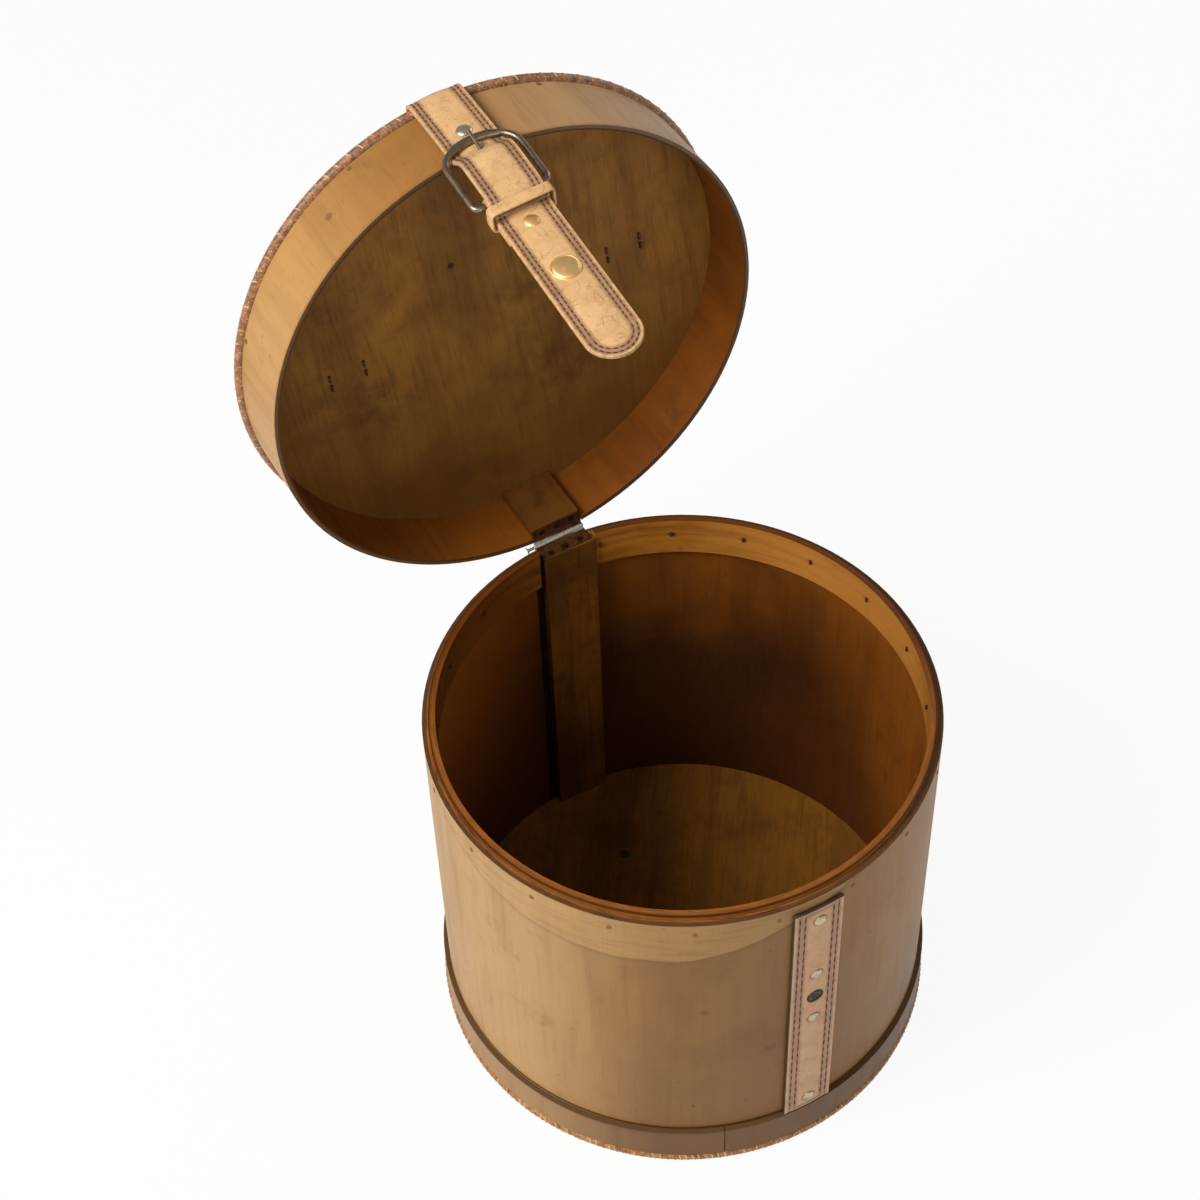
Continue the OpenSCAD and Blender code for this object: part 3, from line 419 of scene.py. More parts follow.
# Flat board; turn, in degrees, brings the grain onto y
def boardWood(name, tones, turn=(0, 0, 0), pose=None, seed=0.0, knots=(), blotches=(), shade=None):
    f = Finish(name)
    place = f.place(pose)
    x, y, z = f.parts(f.add("Mapping", None, {"Vector": place, "Rotation": tuple(math.radians(a) for a in turn)}))
    main, dark, warm = (woods[t] for t in tones)
    warp = f.noise(f.scaled(place, 8, 8, 8), 1.0, detail=2)
    across = x + (warp - 0.5) * 0.008
    fine, medium, broad = streaks(f, across, y, seed)
    cloud = f.noise(place, 16.0, detail=5, rough=0.66, warp=0.4)
    grimeAndShadowLine = f.noise(place, 70.0, detail=6, rough=0.72)
    plank = f.step(f.noise(f.vector(across * 16.0, seed, 0.0), detail=0), 0.47, 0.53)
    colour = f.mix(plank * 0.45, main, warm)
    colour = f.mix(f.step(cloud, 0.42, 0.66) * 0.6, colour, dark)
    colour = f.mix(f.step(broad, 0.42, 0.66) * 0.45, colour, dark)
    colour = f.mix(f.step(medium, 0.48, 0.7) * 0.5, colour, dark)
    colour = f.mix(f.step(grimeAndShadowLine, 0.5, 0.68) * 0.4, colour, dark)
    colour = f.mix(f.step(fine, 0.46, 0.74) * 0.32, colour, woods["sootAndShadow"])
    # Painted shade: darker along y between the given places
    if shade:
        colour = f.mix(f.step(y + (cloud - 0.5) * 0.06, shade["from"], shade["to"]) * shade["depth"], colour, dark)
    for at, size, depth in blotches:
        colour = f.mix(f.spot(place, at, size, 0.15) * f.step(grimeAndShadowLine, 0.3, 0.62) * depth * 0.5, colour, woods["sootAndShadow"])
    for at, size in knots:
        colour = f.mix(f.spot(place, at, size) * 0.93, colour, woods["sootAndShadow"])
    rough = 0.58 + (medium - 0.5) * 0.2 + (grimeAndShadowLine - 0.5) * 0.15
    return f.done(colour, rough, f.bump(fine * 0.7 + medium, 0.00012), shine=0.2)


marks = [((-0.114, -0.038, 0.106), 0.0025), ((-0.106, -0.057, 0.197), 0.002), ((-0.119, -0.020, 0.198), 0.002),
         ((-0.02, -0.1165, 0.09), 0.004), ((0.008, -0.118, 0.075), 0.005), ((-0.05, -0.108, 0.13), 0.003)]
band = {"edge": 0.1722, "angle": -0.82, "spread": 0.8, "rise": 0.0186}
caseEdge, lidEdge = {"z": 0.2, "dark": False}, {"z": 0.2003, "dark": True}
veneer = bentVeneer("caseVeneer", 0.118, 0.003, caseEdge, band=band, marks=marks)
lidTones = ("lidMain", "lidDark", "lidLitLeft", "lidShaded")
lidVeneer = bentVeneer("lidVeneer", 0.118, 0.0024, lidEdge, lidPose, seed=20.0, tones=lidTones, leftLightWindow=(0.2, 0.85),
                       marks=[((-0.062, -0.1, 0.222), 0.0025)])
bandVeneer = bentVeneer("bandVeneer", 0.1204, 0.006, {"z": 0.0252, "dark": False, "plain": True}, seed=40.0,
                        tones=("bandMain", "bandDark", "bandLitLeft", "bandMain"))
nailAngles = [math.radians(a) for a in (63, 81, 99, 117, 135, 153, -153, -135, -117, -99)]
lining = liningVeneer(nailAngles, 0.193)
floorWood = boardWood("floorWood", ("floor", "floorDark", "floorWarm"), (0, 0, 35), seed=3.0,
                      knots=[((0.0012, 0.0635, 0.004), 0.0034)],
                      blotches=[((0.0, 0.078, 0.004), 0.016, 0.5), ((-0.05, 0.04, 0.004), 0.05, 0.5)])
lidWood = boardWood("lidWood", ("board", "boardDark", "boardWarm"), (0, 0, 0), lidPose, seed=9.0,
                    knots=[((-0.012, -0.038, 0.2318), 0.0022)],
                    blotches=[((0.03, 0.045, 0.2318), 0.045, 0.75), ((-0.06, 0.02, 0.2318), 0.035, 0.7),
                              ((-0.07, -0.05, 0.2318), 0.03, 0.6), ((-0.02, 0.09, 0.2318), 0.03, 0.7),
                              ((0.02, -0.01, 0.2318), 0.02, 0.5)],
                    shade={"from": -0.03, "to": 0.1, "depth": 0.75})
battenWood = boardWood("battenWood", ("batten", "battenDark", "battenWarm"), (90, 0, 0), seed=15.0)
cleatWood = boardWood("cleatWood", ("batten", "battenDark", "battenWarm"), (0, 0, 90), lidPose, seed=25.0)
print("wood is mixed")


# Metal finishes: base colour, dulled patches, scratches
def wornMetal(name, colour, dull, rough, seed=0.0, grain=0.0, wear=0.5):
    f = Finish(name)
    place = f.place()
    patch = f.noise(place, 320.0, detail=5, rough=0.65)
    scratch = f.noise(f.scaled(place, 1, 6, 1), 700.0, detail=3)
    tarnish = f.step(patch, 0.62 - wear * 0.3, 0.72)
    tint = f.mix(tarnish, colour, dull)
    tint = f.mix(f.step(scratch, 0.62, 0.72) * 0.4, tint, colour)
    roughness = rough + tarnish * 0.22 + (scratch - 0.5) * 0.15
    pits = patch * 0.5 + scratch * 0.3 + f.noise(place, 1500.0 + seed, detail=2) * 0.4
    return f.done(tint, roughness, f.bump(pits, 0.00004 + grain), metal=1.0)


# Hinge leaves, rusty on the flat, with a painted highlight in a narrow strip along the knuckles
def hingeMetal():
    f = Finish("hingeMetal")
    place = f.place()
    gap = f.add("VectorMath", {"operation": "SUBTRACT"}, {0: place, 1: tuple(hinge["at"])})
    across = f.add("VectorMath", {"operation": "CROSS_PRODUCT"}, {0: gap, 1: tuple(hingeLine)})
    away = f.add("VectorMath", {"operation": "LENGTH"}, {0: across}, out=1)
    patch = f.noise(place, 260.0, detail=5, rough=0.65)
    side = f.add("VectorMath", {"operation": "DOT_PRODUCT"}, {0: gap, 1: (0, 0.78, 0.63)}, out=1)
    side = f.add("Math", {"operation": "ABSOLUTE"}, {0: side + (patch - 0.5) * 0.0012})
    # Painted highlight: a pale strip along the knuckles
    knuckleGlint = (1.0 - f.step(away, 0.0026, 0.0034)) * (1.0 - f.step(side, 0.0007, 0.0016))
    colour = f.mix(f.step(patch, 0.4, 0.66), paint(124, 82, 46), paint(84, 50, 26))
    colour = f.mix(knuckleGlint * (1.0 - f.step(patch, 0.62, 0.75) * 0.5), colour, paint(226, 222, 210))
    rough = 0.52 - knuckleGlint * 0.26 + (patch - 0.5) * 0.2
    return f.done(colour, rough, f.bump(patch, 0.00006), metal=0.85)


# Nails: wood-coloured heads outside, dark points inside
def nailIron(name, pose=None):
    f = Finish(name)
    place = f.place(pose)
    out, angle, z = roundPlace(f, place)
    patch = f.noise(place, 500.0, detail=3)
    head = f.step(out, 0.1165, 0.1172)
    point = f.mix(patch, paint(54, 34, 18), paint(86, 56, 30))
    colour = f.mix(head, point, f.mix(patch, woods["outside"], woods["outsideDark"]))
    return f.done(colour, 0.6, f.bump(patch, 0.00005), metal=0.0, shine=0.3)


nickel = wornMetal("nickel", paint(226, 210, 186), paint(176, 150, 120), 0.34, wear=0.45)
dullNickel = wornMetal("dullNickel", paint(206, 186, 156), paint(150, 124, 96), 0.42, wear=0.6)
brass = wornMetal("agedBrass", paint(255, 214, 146), paint(236, 184, 112), 0.5, wear=0.3)
pewter = wornMetal("pewter", paint(156, 134, 114), paint(98, 76, 58), 0.38, wear=0.55)
darkSteel = wornMetal("darkSteel", paint(70, 54, 40), paint(34, 24, 16), 0.5)
brightSteel = wornMetal("brightSteel", paint(236, 232, 222), paint(180, 170, 156), 0.2, wear=0.2)
stapleIron = wornMetal("stapleIron", paint(96, 78, 60), paint(48, 34, 24), 0.42)
rustySteel = hingeMetal()
caseNail = nailIron("caseNail")
lidNail = nailIron("lidNail", lidPose)


# Leather finishes. UV is across and along the strap in metres, edge is the distance from its outline
def strapLeather(name, face, deep, seam, rim, crack=1.0, rows=(0.0021, 0.0041), fixingsAndShade=None):
    f = Finish(name)
    flat = f.add("TexCoord", out=2)
    edge = f.add("Attribute", {"attribute_name": "edge"}, out=2)
    cells = f.add("TexVoronoi", {"feature": "DISTANCE_TO_EDGE"},
                  {"Vector": f.wobble(flat, 110.0, 0.005), "Scale": 240.0, "Randomness": 1.0})
    small = f.add("TexVoronoi", {"feature": "DISTANCE_TO_EDGE"},
                  {"Vector": f.wobble(flat, 260.0, 0.002), "Scale": 620.0, "Randomness": 1.0})
    patchy = f.noise(flat, 150.0, detail=3)
    cracks = (1.0 - f.step(cells, 0.0, 0.075)) * f.step(patchy, 0.4, 0.64) * crack
    hair = (1.0 - f.step(small, 0.0, 0.09)) * f.step(patchy, 0.5, 0.7) * crack
    cloud = f.noise(flat, 85.0, detail=6, rough=0.7)
    fibre = f.noise(flat, 420.0, detail=4, rough=0.7)
    pores = f.noise(flat, 1900.0, detail=3)
    drift = (fibre - 0.5) * 0.0022
    near, far = rows
    sewn = f.step(edge + drift, near - 0.0014, near - 0.0008) * (1.0 - f.step(edge + drift, far + 0.0005, far + 0.0021))
    row = f.step(edge, near - 0.0007, near) * (1.0 - f.step(edge, near, near + 0.0007))
    row = row + f.step(edge, far - 0.0007, far) * (1.0 - f.step(edge, far, far + 0.0007))
    colour = f.mix(f.step(cloud, 0.36, 0.68) * 0.7, face, deep)
    colour = f.mix(f.step(fibre, 0.5, 0.72) * 0.35, colour, deep)
    colour = f.mix(sewn * (0.58 + f.step(cloud, 0.3, 0.6) * 0.35), colour, seam)
    colour = f.mix(row * (0.35 + fibre * 0.4), colour, rim)
    colour = f.mix(cracks * 0.3, colour, rim)
    colour = f.mix(hair * 0.16, colour, rim)
    outline = 1.0 - f.step(edge, 0.0002, 0.0005)
    colour = f.mix(outline * f.step(fibre, 0.3, 0.6) * 0.35, colour, rim)
    if fixingsAndShade:
        across, down, _ = f.parts(flat)
        for at in fixingsAndShade["rivets"]:
            colour = f.mix(f.spot(flat, (0, at, 0), 0.0041, 0.75) * 0.7, colour, rim)
        # Painted shade: a near-black disc where the socket's hole is
        colour = f.mix(f.spot(flat, (0, fixingsAndShade["holeShade"], 0), 0.0034) * 0.97, colour, paint(12, 8, 5))
        # Painted shadow along the strap's left side face and its top end
        shadow = 1.0 - f.step(across, -0.0123, -0.0119) * f.step(down, 0.0002, 0.0006)
        colour = f.mix(shadow * 0.93, colour, paint(24, 15, 8))
    colour = f.mix(f.step(pores, 0.56, 0.74) * 0.25, colour, seam)
    rough = 0.6 + (cloud - 0.5) * 0.25 + cracks * 0.15
    height = pores * 0.25 - cracks * 0.6 - hair * 0.25 + cloud * 0.5 + fibre * 0.35
    return f.done(colour, rough, f.bump(height, 0.0002), coat=0.04, coatRough=0.4, shine=0.35)


strapHide = strapLeather("strapLeather", paint(222, 178, 124), paint(200, 152, 100), paint(158, 116, 82), paint(112, 76, 52))
catchHide = strapLeather("catchLeather", paint(208, 166, 124), paint(196, 146, 104), paint(172, 128, 98), paint(104, 68, 48), 0.4,
                         (0.0028, 0.0054), {"rivets": (0.009, 0.052, 0.088, 0.1588), "holeShade": 0.07})
handleHide = strapLeather("handleLeather", paint(176, 122, 72), paint(148, 98, 56), paint(124, 82, 50), paint(84, 52, 30), 0.7)


def threadFinish(name, colour, deep, pale=None):
    f = Finish(name)
    place = f.place()
    twist = f.noise(place, 2600.0, detail=2)
    tint = f.mix(twist, colour, deep)
    if pale:
        tint = f.mix(f.step(f.noise(place, 190.0, detail=1), 0.46, 0.6), tint, pale)
    return f.done(tint, 0.75, f.bump(twist, 0.00008), shine=0.3)


thread = threadFinish("thread", paint(104, 70, 50), paint(66, 42, 30))
trimStitch = threadFinish("trimStitch", paint(206, 128, 62), paint(146, 82, 38), paint(222, 180, 122))


def beadLeather(pose, name, tones):
    f = Finish(name)
    place = f.place(pose)
    out, angle, z = roundPlace(f, place)
    worn = f.noise(f.vector(angle * 30.0, z * 300.0, 1.0), detail=5, rough=0.65)
    wrap = f.noise(f.vector(angle * 70.0, z * 900.0 + angle * 40.0, 4.0), detail=3)
    colour = f.mix(f.step(worn, 0.36, 0.66), *(paint(*tone) for tone in tones))
    colour = f.mix(f.step(wrap, 0.5, 0.7) * 0.6, colour, paint(66, 40, 22))
    speck = f.noise(f.vector(angle * 150.0, z * 1200.0, 9.0), detail=2)
    colour = f.mix(f.step(speck, 0.58, 0.66) * 0.7, colour, paint(214, 166, 108))
    rough = 0.44 + (worn - 0.5) * 0.3
    return f.done(colour, rough, f.bump(wrap + worn * 0.6, 0.0003), coat=0.15, coatRough=0.35, shine=0.4)


caseBead = beadLeather(None, "caseBead", ((126, 82, 42), (184, 128, 74)))
lidBead = beadLeather(lidPose, "lidBead", ((112, 74, 48), (168, 118, 80)))
print("metal and leather are mixed")

# Nodes that keep their shape
kept = {
    "body_wall": veneer, "rim_lining": lining, "seam_batten": battenWood, "floor_board": floorWood,
    "base_band": bandVeneer, "lining_nails": caseNail, "batten_nails": caseNail, "floor_nails": caseNail,
    "snap_socket": darkSteel, "hinge_leaf_case": rustySteel, "hinge_pin": brightSteel,
    "hinge_screws_case": darkSteel, "lid_wall": lidVeneer, "lid_board": lidWood, "lid_nails": lidNail,
    "lid_cleat": cleatWood, "hinge_leaf_lid": rustySteel, "hinge_screws_lid": darkSteel,
    "handle_staples": stapleIron, "snap_stud": brass,
}
for name, material in kept.items():
    nodes[name].data.materials.clear()
    nodes[name].data.materials.append(material)


# The same small shape at many places
def repeated(bm, poses, index=0):
    template = bpy.data.meshes.new("template")
    bm.to_mesh(template)
    bm.free()
    for face in template.polygons:
        face.material_index = index
    whole = bmesh.new()
    for pose in poses:
        copy = template.copy()
        copy.transform(pose)
        whole.from_mesh(copy)
        bpy.data.meshes.remove(copy)
    bpy.data.meshes.remove(template)
    return whole


# Bound beads: a round core, and a thread that wraps it at each step
beads = {
    "base": {"radius": 0.1185, "z": 0.0029, "thick": 0.0026, "stitches": 240, "thread": 0.00044, "slant": 24},
    "lid": {"radius": 0.118, "z": 0.2387, "thick": 0.0025, "stitches": 120, "thread": 0.00042, "slant": 30},
}


def boundBead(name, dims, body, node, finish, pose=None):
    bm = bmesh.new()
    circle = bmesh.ops.create_circle(bm, segments=20, radius=dims["thick"])["verts"]
    turn = Matrix.Translation((dims["radius"], 0, dims["z"])) @ Matrix.Rotation(math.pi / 2, 4, "X")
    bmesh.ops.transform(bm, matrix=turn, verts=circle)
    bmesh.ops.spin(bm, geom=bm.verts[:] + bm.edges[:], cent=(0, 0, 0), axis=(0, 0, 1), angle=2 * math.pi,
                   steps=288, use_merge=True)
    bmesh.ops.remove_doubles(bm, verts=bm.verts, dist=1e-6)
    linkPiece(name, bm, [finish], body, [node], pose, 60)
    bm = bmesh.new()
    ring = bmesh.ops.create_circle(bm, segments=5, radius=dims["thread"])["verts"]
    start = Matrix.Rotation(math.radians(105), 4, "Y") @ Matrix.Translation((dims["thick"] - dims["thread"] * 0.35, 0, 0))
    bmesh.ops.transform(bm, matrix=start, verts=ring)
    bmesh.ops.spin(bm, geom=bm.verts[:] + bm.edges[:], cent=(0, 0, 0), axis=(0, 1, 0), angle=-math.radians(210),
                   steps=8, use_merge=False)
    bmesh.ops.remove_doubles(bm, verts=bm.verts, dist=1e-6)
    bmesh.ops.holes_fill(bm, edges=bm.edges, sides=8)
    draw = random.Random(7)
    poses = []
    for i in range(dims["stitches"]):
        angle = 2 * math.pi * (i + draw.uniform(-0.12, 0.12)) / dims["stitches"]
        slant = math.radians(dims["slant"] + draw.uniform(-5, 5))
        poses.append(Matrix.Rotation(angle, 4, "Z") @ Matrix.Translation((dims["radius"], 0, dims["z"]))
                     @ Matrix.Rotation(slant, 4, "X"))
    linkPiece(name + "Stitches", repeated(bm, poses), [trimStitch], body, (), pose, 60)


boundBead("baseBead", beads["base"], "case", "base_trim", caseBead)
boundBead("lidBead", beads["lid"], "lid", "lid_trim", lidBead, lidPose)
print("beads are bound")


# Straps are cut flat, sewn flat, and then bent along a line
def smoothed(points, step=0.0012, passes=30):
    dense = []
    for (a, b), (c, d) in zip(points, points[1:]):
        length = math.hypot(c - a, d - b)
        count = max(1, round(length / (step / 2)))
        dense += [(a + (c - a) * i / count, b + (d - b) * i / count) for i in range(count)]
    dense.append(points[-1])
    for _ in range(passes):
        inner = [tuple((dense[i - 1][k] + 2 * dense[i][k] + dense[i + 1][k]) / 4 for k in (0, 1))
                 for i in range(1, len(dense) - 1)]
        dense = [dense[0]] + inner + [dense[-1]]
    return dense


# Distance along a line, and the point and outward normal at a distance
class Spine:
    def __init__(self, points, passes=30):
        self.points = smoothed(points, passes=passes)
        self.along = [0.0]
        for (a, b), (c, d) in zip(self.points, self.points[1:]):
            self.along.append(self.along[-1] + math.hypot(c - a, d - b))
        self.length = self.along[-1]

    def at(self, s):
        s = min(max(s, 0.0), self.length)
        i = min(max(bisect.bisect_right(self.along, s) - 1, 0), len(self.along) - 2)
        (a, b), (c, d) = self.points[i], self.points[i + 1]
        gap = self.along[i + 1] - self.along[i]
        t = (s - self.along[i]) / gap
        return a + (c - a) * t, b + (d - b) * t, (c - a) / gap, (d - b) / gap


# Distance from the outline of a strap with a round tip at its far end
def edgeDistance(x, s, width, length, tip):
    half = width / 2
    if tip and s > length - half:
        return half - math.hypot(x, s - (length - half))
    side = half - abs(x)
    return side if tip else min(side, s + 0.003, length - s + 0.003)


# Places of the stitches of one row: x, s and direction
def stitchRow(inset, width, start, end, pitch, tip):
    half = width / 2
    places = []
    stop = end - half if tip else end
    count = int((stop - start) / pitch)
    for side in (-1, 1):
        places += [(side * (half - inset), start + (i + 0.5) * pitch, 0.0) for i in range(count)]
    if tip:
        radius = half - inset
        around = int(math.pi * radius / pitch)
        for i in range(around):
            angle = math.pi * (i + 0.5) / around
            places.append((radius * math.cos(angle), stop + radius * math.sin(angle), angle))
    return places


def sewnStrap(name, spine, cut, finishes, body, replaced, toPlace):
    width, thick, length, tip = cut["width"], cut["thick"], spine.length, cut.get("tip", False)
    half = width / 2
    rows = max(8, int(length / 0.0014))
    bm = bmesh.new()
    bmesh.ops.create_grid(bm, x_segments=22, y_segments=rows, size=1.0)
    flat = length if not tip else length - half + half * 1.53
    for v in bm.verts:
        x, s = v.co.x * half, (v.co.y + 1) / 2 * flat
        if tip and s > length - half:
            angle = (s - (length - half)) / half
            x, s = x * math.cos(angle), length - half + half * math.sin(angle)
        v.co = (x, s, 0)
    bmesh.ops.recalc_face_normals(bm, faces=bm.faces)
    if bm.faces[0].normal.z < 0:
        bmesh.ops.reverse_faces(bm, faces=bm.faces)
    top = bmesh.ops.extrude_face_region(bm, geom=bm.faces[:])["geom"]
    bmesh.ops.translate(bm, verts=[v for v in top if isinstance(v, bmesh.types.BMVert)], vec=(0, 0, thick))
    bmesh.ops.recalc_face_normals(bm, faces=bm.faces)
    rims = [e for e in bm.edges if len(e.link_faces) == 2 and e.calc_face_angle(0) > 1.2]
    bmesh.ops.bevel(bm, geom=rims, offset=thick * 0.3, offset_type="OFFSET", affect="EDGES", segments=3,
                    profile=0.5, material=-1)
    groove = cut.get("groove", 0.0003)
    edgeLayer = bm.verts.layers.float.new("edge")
    for v in bm.verts:
        gap = edgeDistance(v.co.x, v.co.y, width, length, tip)
        v[edgeLayer] = gap
        if v.co.z > thick * 0.55:
            dips = sum(math.exp(-((gap - inset) / 0.0008) ** 2) for inset in cut["insets"])
            v.co.z += -groove * dips + cut.get("crown", 0.0004) * min(max((gap - 0.005) / 0.005, 0), 1)
    uv = bm.loops.layers.uv.new("flat")
    for face in bm.faces:
        for loop in face.loops:
            loop[uv].uv = (loop.vert.co.x, loop.vert.co.y)
        face.material_index = 0
    draw = random.Random(cut["seed"])
    poses = []
    for inset in cut["insets"]:
        row = stitchRow(inset, width, cut.get("start", 0.002), length - (0 if tip else 0.002), cut["pitch"], tip)
        for x, s, turn in row:
            size = Matrix.Diagonal((0.0004, cut["pitch"] * 0.4, 0.00026, 1))
            spin = Matrix.Rotation(turn + draw.uniform(-0.12, 0.12), 4, "Z")
            poses.append(Matrix.Translation((x, s, thick - groove * 0.7)) @ spin @ size)
    ball = bmesh.new()
    bmesh.ops.create_uvsphere(ball, u_segments=6, v_segments=5, radius=1.0)
    sewn = repeated(ball, poses, 1)
    sewnMesh = bpy.data.meshes.new("sewn")
    sewn.to_mesh(sewnMesh)
    sewn.free()
    bm.from_mesh(sewnMesh)
    bpy.data.meshes.remove(sewnMesh)
    for v in bm.verts:
        out, z, dOut, dZ = spine.at(v.co.y)
        lift = v.co.z - thick / 2
        v.co = toPlace @ Vector((v.co.x, -(out - dZ * lift), z + dOut * lift))
    return linkPiece(name, bm, finishes, body, replaced, None, 50)


# A point of the hanging strap, s down from its bend and n outward, as (out, z) with the lid shut
def hung(s, n):
    return (hang["out"] + n * math.cos(droop) - s * math.sin(droop),
            hang["bend"] - n * math.sin(droop) - s * math.cos(droop))


strapDims = {
    "width": 0.025, "thick": 0.0018, "wrap": 0.007, "bar": 0.039, "tab": 0.061, "drop": 0.051,
    "tip": 0.1335, "wire": 0.0015, "wireOut": 0.00275, "tabOut": 0.001, "returnOut": -0.0009,
    "tongueLift": 0.00232, "rise": 0.0069, "tongueEnd": 0.0483, "returnEnd": 0.0595,
}


# Height of the fold's upper layer, from the bar down to where it lies flat
def foldOut(s):
    d = strapDims
    u = 1 - min(max((s - d["bar"]) / (d["drop"] - d["bar"]), 0), 1)
    high = d["wireOut"] + d["wire"] + 0.0001 + d["thick"] / 2
    return d["tabOut"] + (high - d["tabOut"]) * u * u * (3 - 2 * u)


def lidStrap():
    d = strapDims
    corner = (0.118, 0.2387)
    radius = 0.0028 + 0.00025 + d["thick"] / 2
    points = [(0.118 - d["wrap"], corner[1] + radius)]
    points += [(corner[0] + radius * math.sin(a), corner[1] + radius * math.cos(a))
               for a in (math.pi / 2 * i / 10 for i in range(11))]
    points += [hung(0.0, 0.0)]
    top = foldOut(d["bar"]) + d["tongueLift"]
    points += [hung(d["rise"] + 0.012 * u, top * u * u * (3 - 2 * u)) for u in (i / 14 for i in range(15))]
    points += [hung(s, foldOut(s) + d["tongueLift"])
               for s in (d["bar"] + (d["tongueEnd"] - d["bar"]) * i / 8 for i in range(9))]
    spine = Spine(points, 24)
    cut = {"width": d["width"], "thick": d["thick"], "insets": (0.0021, 0.0041), "pitch": 0.0027, "seed": 1}
    across = [lidPose @ Vector((0, -hung(s, 0)[0], hung(s, 0)[1])) for s in (-0.003, 0.003)]
    sewnStrap("lidStrap", spine, cut, [strapHide, thread], ("lid", "strap", across[0], across[1]),
              ["lid_strap", "strap_tongue"], lidPose)


def tabStrap():
    d = strapDims
    fold = d["wire"] + 0.0001 + d["thick"] / 2
    drop = d["drop"]
    points = [hung(d["returnEnd"], d["returnOut"]), hung(drop, d["returnOut"])]
    low = d["wireOut"] - fold
    points += [hung(drop + (d["bar"] - drop) * u, d["returnOut"] + (low - d["returnOut"]) * u * u * (3 - 2 * u))
               for u in (i / 8 for i in range(1, 8))]
    points += [hung(d["bar"] - fold * math.cos(a), d["wireOut"] + fold * math.sin(a))
               for a in (math.radians(-90 + 15 * i) for i in range(1, 12))]
    points += [hung(s, foldOut(s)) for s in (d["bar"] + (drop - d["bar"]) * i / 8 for i in range(1, 9))]
    points += [hung(d["tip"], d["tabOut"])]
    spine = Spine(points, 12)
    cut = {"width": d["width"], "thick": d["thick"], "insets": (0.0021, 0.0041), "pitch": 0.0027, "seed": 2,
           "tip": True, "start": 0.024}
    across = [lidPose @ Vector((0, -hung(s, d["tabOut"])[0], hung(s, d["tabOut"])[1])) for s in (0.0585, 0.0635)]
    sewnStrap("tabStrap", spine, cut, [strapHide, thread], ("strap", "tab", across[0], across[1]),
              ["fold_strap", "snap_tab"], lidPose)


def catchStrap():
    points = [(0.1181 + 0.0011, z) for z in (0.194, 0.15, 0.1, 0.06, 0.0262)]
    spine = Spine(points, 2)
    cut = {"width": 0.025, "thick": 0.0022, "insets": (0.0028, 0.0054), "pitch": 0.0062, "seed": 3, "crown": 0.0001}
    piece = sewnStrap("catchStrap", spine, cut, [catchHide, thread], "case", ["catch_strap"],
                      Matrix.Identity(4))
    for v in piece.data.vertices:
        out = -v.co.y
        angle = v.co.x / 0.1192
        v.co.x, v.co.y = out * math.sin(angle), -out * math.cos(angle)


def handleStrap():
    base = 0.2368 + 0.0001 + 0.0013
    points = [(-0.086, base)]
    for i in range(41):
        u = i / 40
        t = min(max(3.2 * min(u, 1 - u), 0), 1)
        points.append((-0.056 + 0.112 * u, base + 0.026 * t * t * (3 - 2 * t)))
    points.append((0.086, base))
    spine = Spine(points, 40)
    cut = {"width": 0.022, "thick": 0.0026, "insets": (0.0021, 0.0041), "pitch": 0.0031, "seed": 4}
    turn = lidPose @ Matrix.Translation((0, -0.004, 0)) @ Matrix.Rotation(math.pi / 2, 4, "Z")
    sewnStrap("handleStrap", spine, cut, [handleHide, thread], "lid", ["handle_strap"], turn)


lidStrap()
tabStrap()
catchStrap()
handleStrap()
print("straps are sewn")

# Round heads of rivets and the press stud's cap
heads = {
    "lidRivet": {"radius": 0.0036, "height": 0.0017, "lip": 0.0003},
    "foldRivet": {"radius": 0.0034, "height": 0.0014, "lip": 0.0003},
    "catchRivet": {"radius": 0.003, "height": 0.0011, "lip": 0.0002},
}


def addHead(name, dims, poses, finish, body, node, shank=0.003):
    whole = bmesh.new()
    mesh = bpy.data.meshes.new("head")
    for pose in poses:
        bm = lathe(headProfile(dims["radius"], dims["height"], dims["lip"]), 40)
        bmesh.ops.transform(bm, matrix=pose, verts=bm.verts)
        bm.to_mesh(mesh)
        bm.free()
        whole.from_mesh(mesh)
    bpy.data.meshes.remove(mesh)
    linkPiece(name, whole, [finish], body, [node] if node else (), None, 35)


def rivets():
    slope = math.atan((0.118 + 0.00395 - hang["out"]) / (0.2387 - hang["bend"]))
    rivetOut = hang["out"] + 0.0042 * math.tan(slope) + 0.0009
    addHead("lidRivet", heads["lidRivet"], [lidPose @ frontPose(0, rivetOut, 0.2112)], nickel, "lid",
            "lid_strap_rivet")
    addHead("foldRivet", heads["foldRivet"], [hangPose(0.055, 0.0021)], brass, "strap", "fold_rivet")
    places = [frontPose(0, 0.1203, z) for z in (0.185, 0.142, 0.106, 0.0352)]
    addHead("catchRivets", heads["catchRivet"], places, dullNickel, "case", "catch_strap_rivets")


def snapCap():
    d = {"radius": 0.0065, "rim": 0.0006, "s": 0.08355, "n": 0.00195}
    profile = [(0, 0), (d["radius"] * 0.97, 0), (d["radius"], 0.00025), (d["radius"] * 0.985, d["rim"]),
               (d["radius"] * 0.93, d["rim"] + 0.00022), (d["radius"] * 0.89, d["rim"] + 0.0001)]
    profile += [(d["radius"] * 0.86 * math.cos(a), d["rim"] + 0.00008 + 0.00088 * math.sin(a))
                for a in (math.pi / 2 * i / 6 for i in range(7))]
    linkPiece("snapCap", lathe(profile, 56), [brass], "tab", ["snap_cap"], hangPose(d["s"], d["n"]), 35)


rivets()
snapCap()

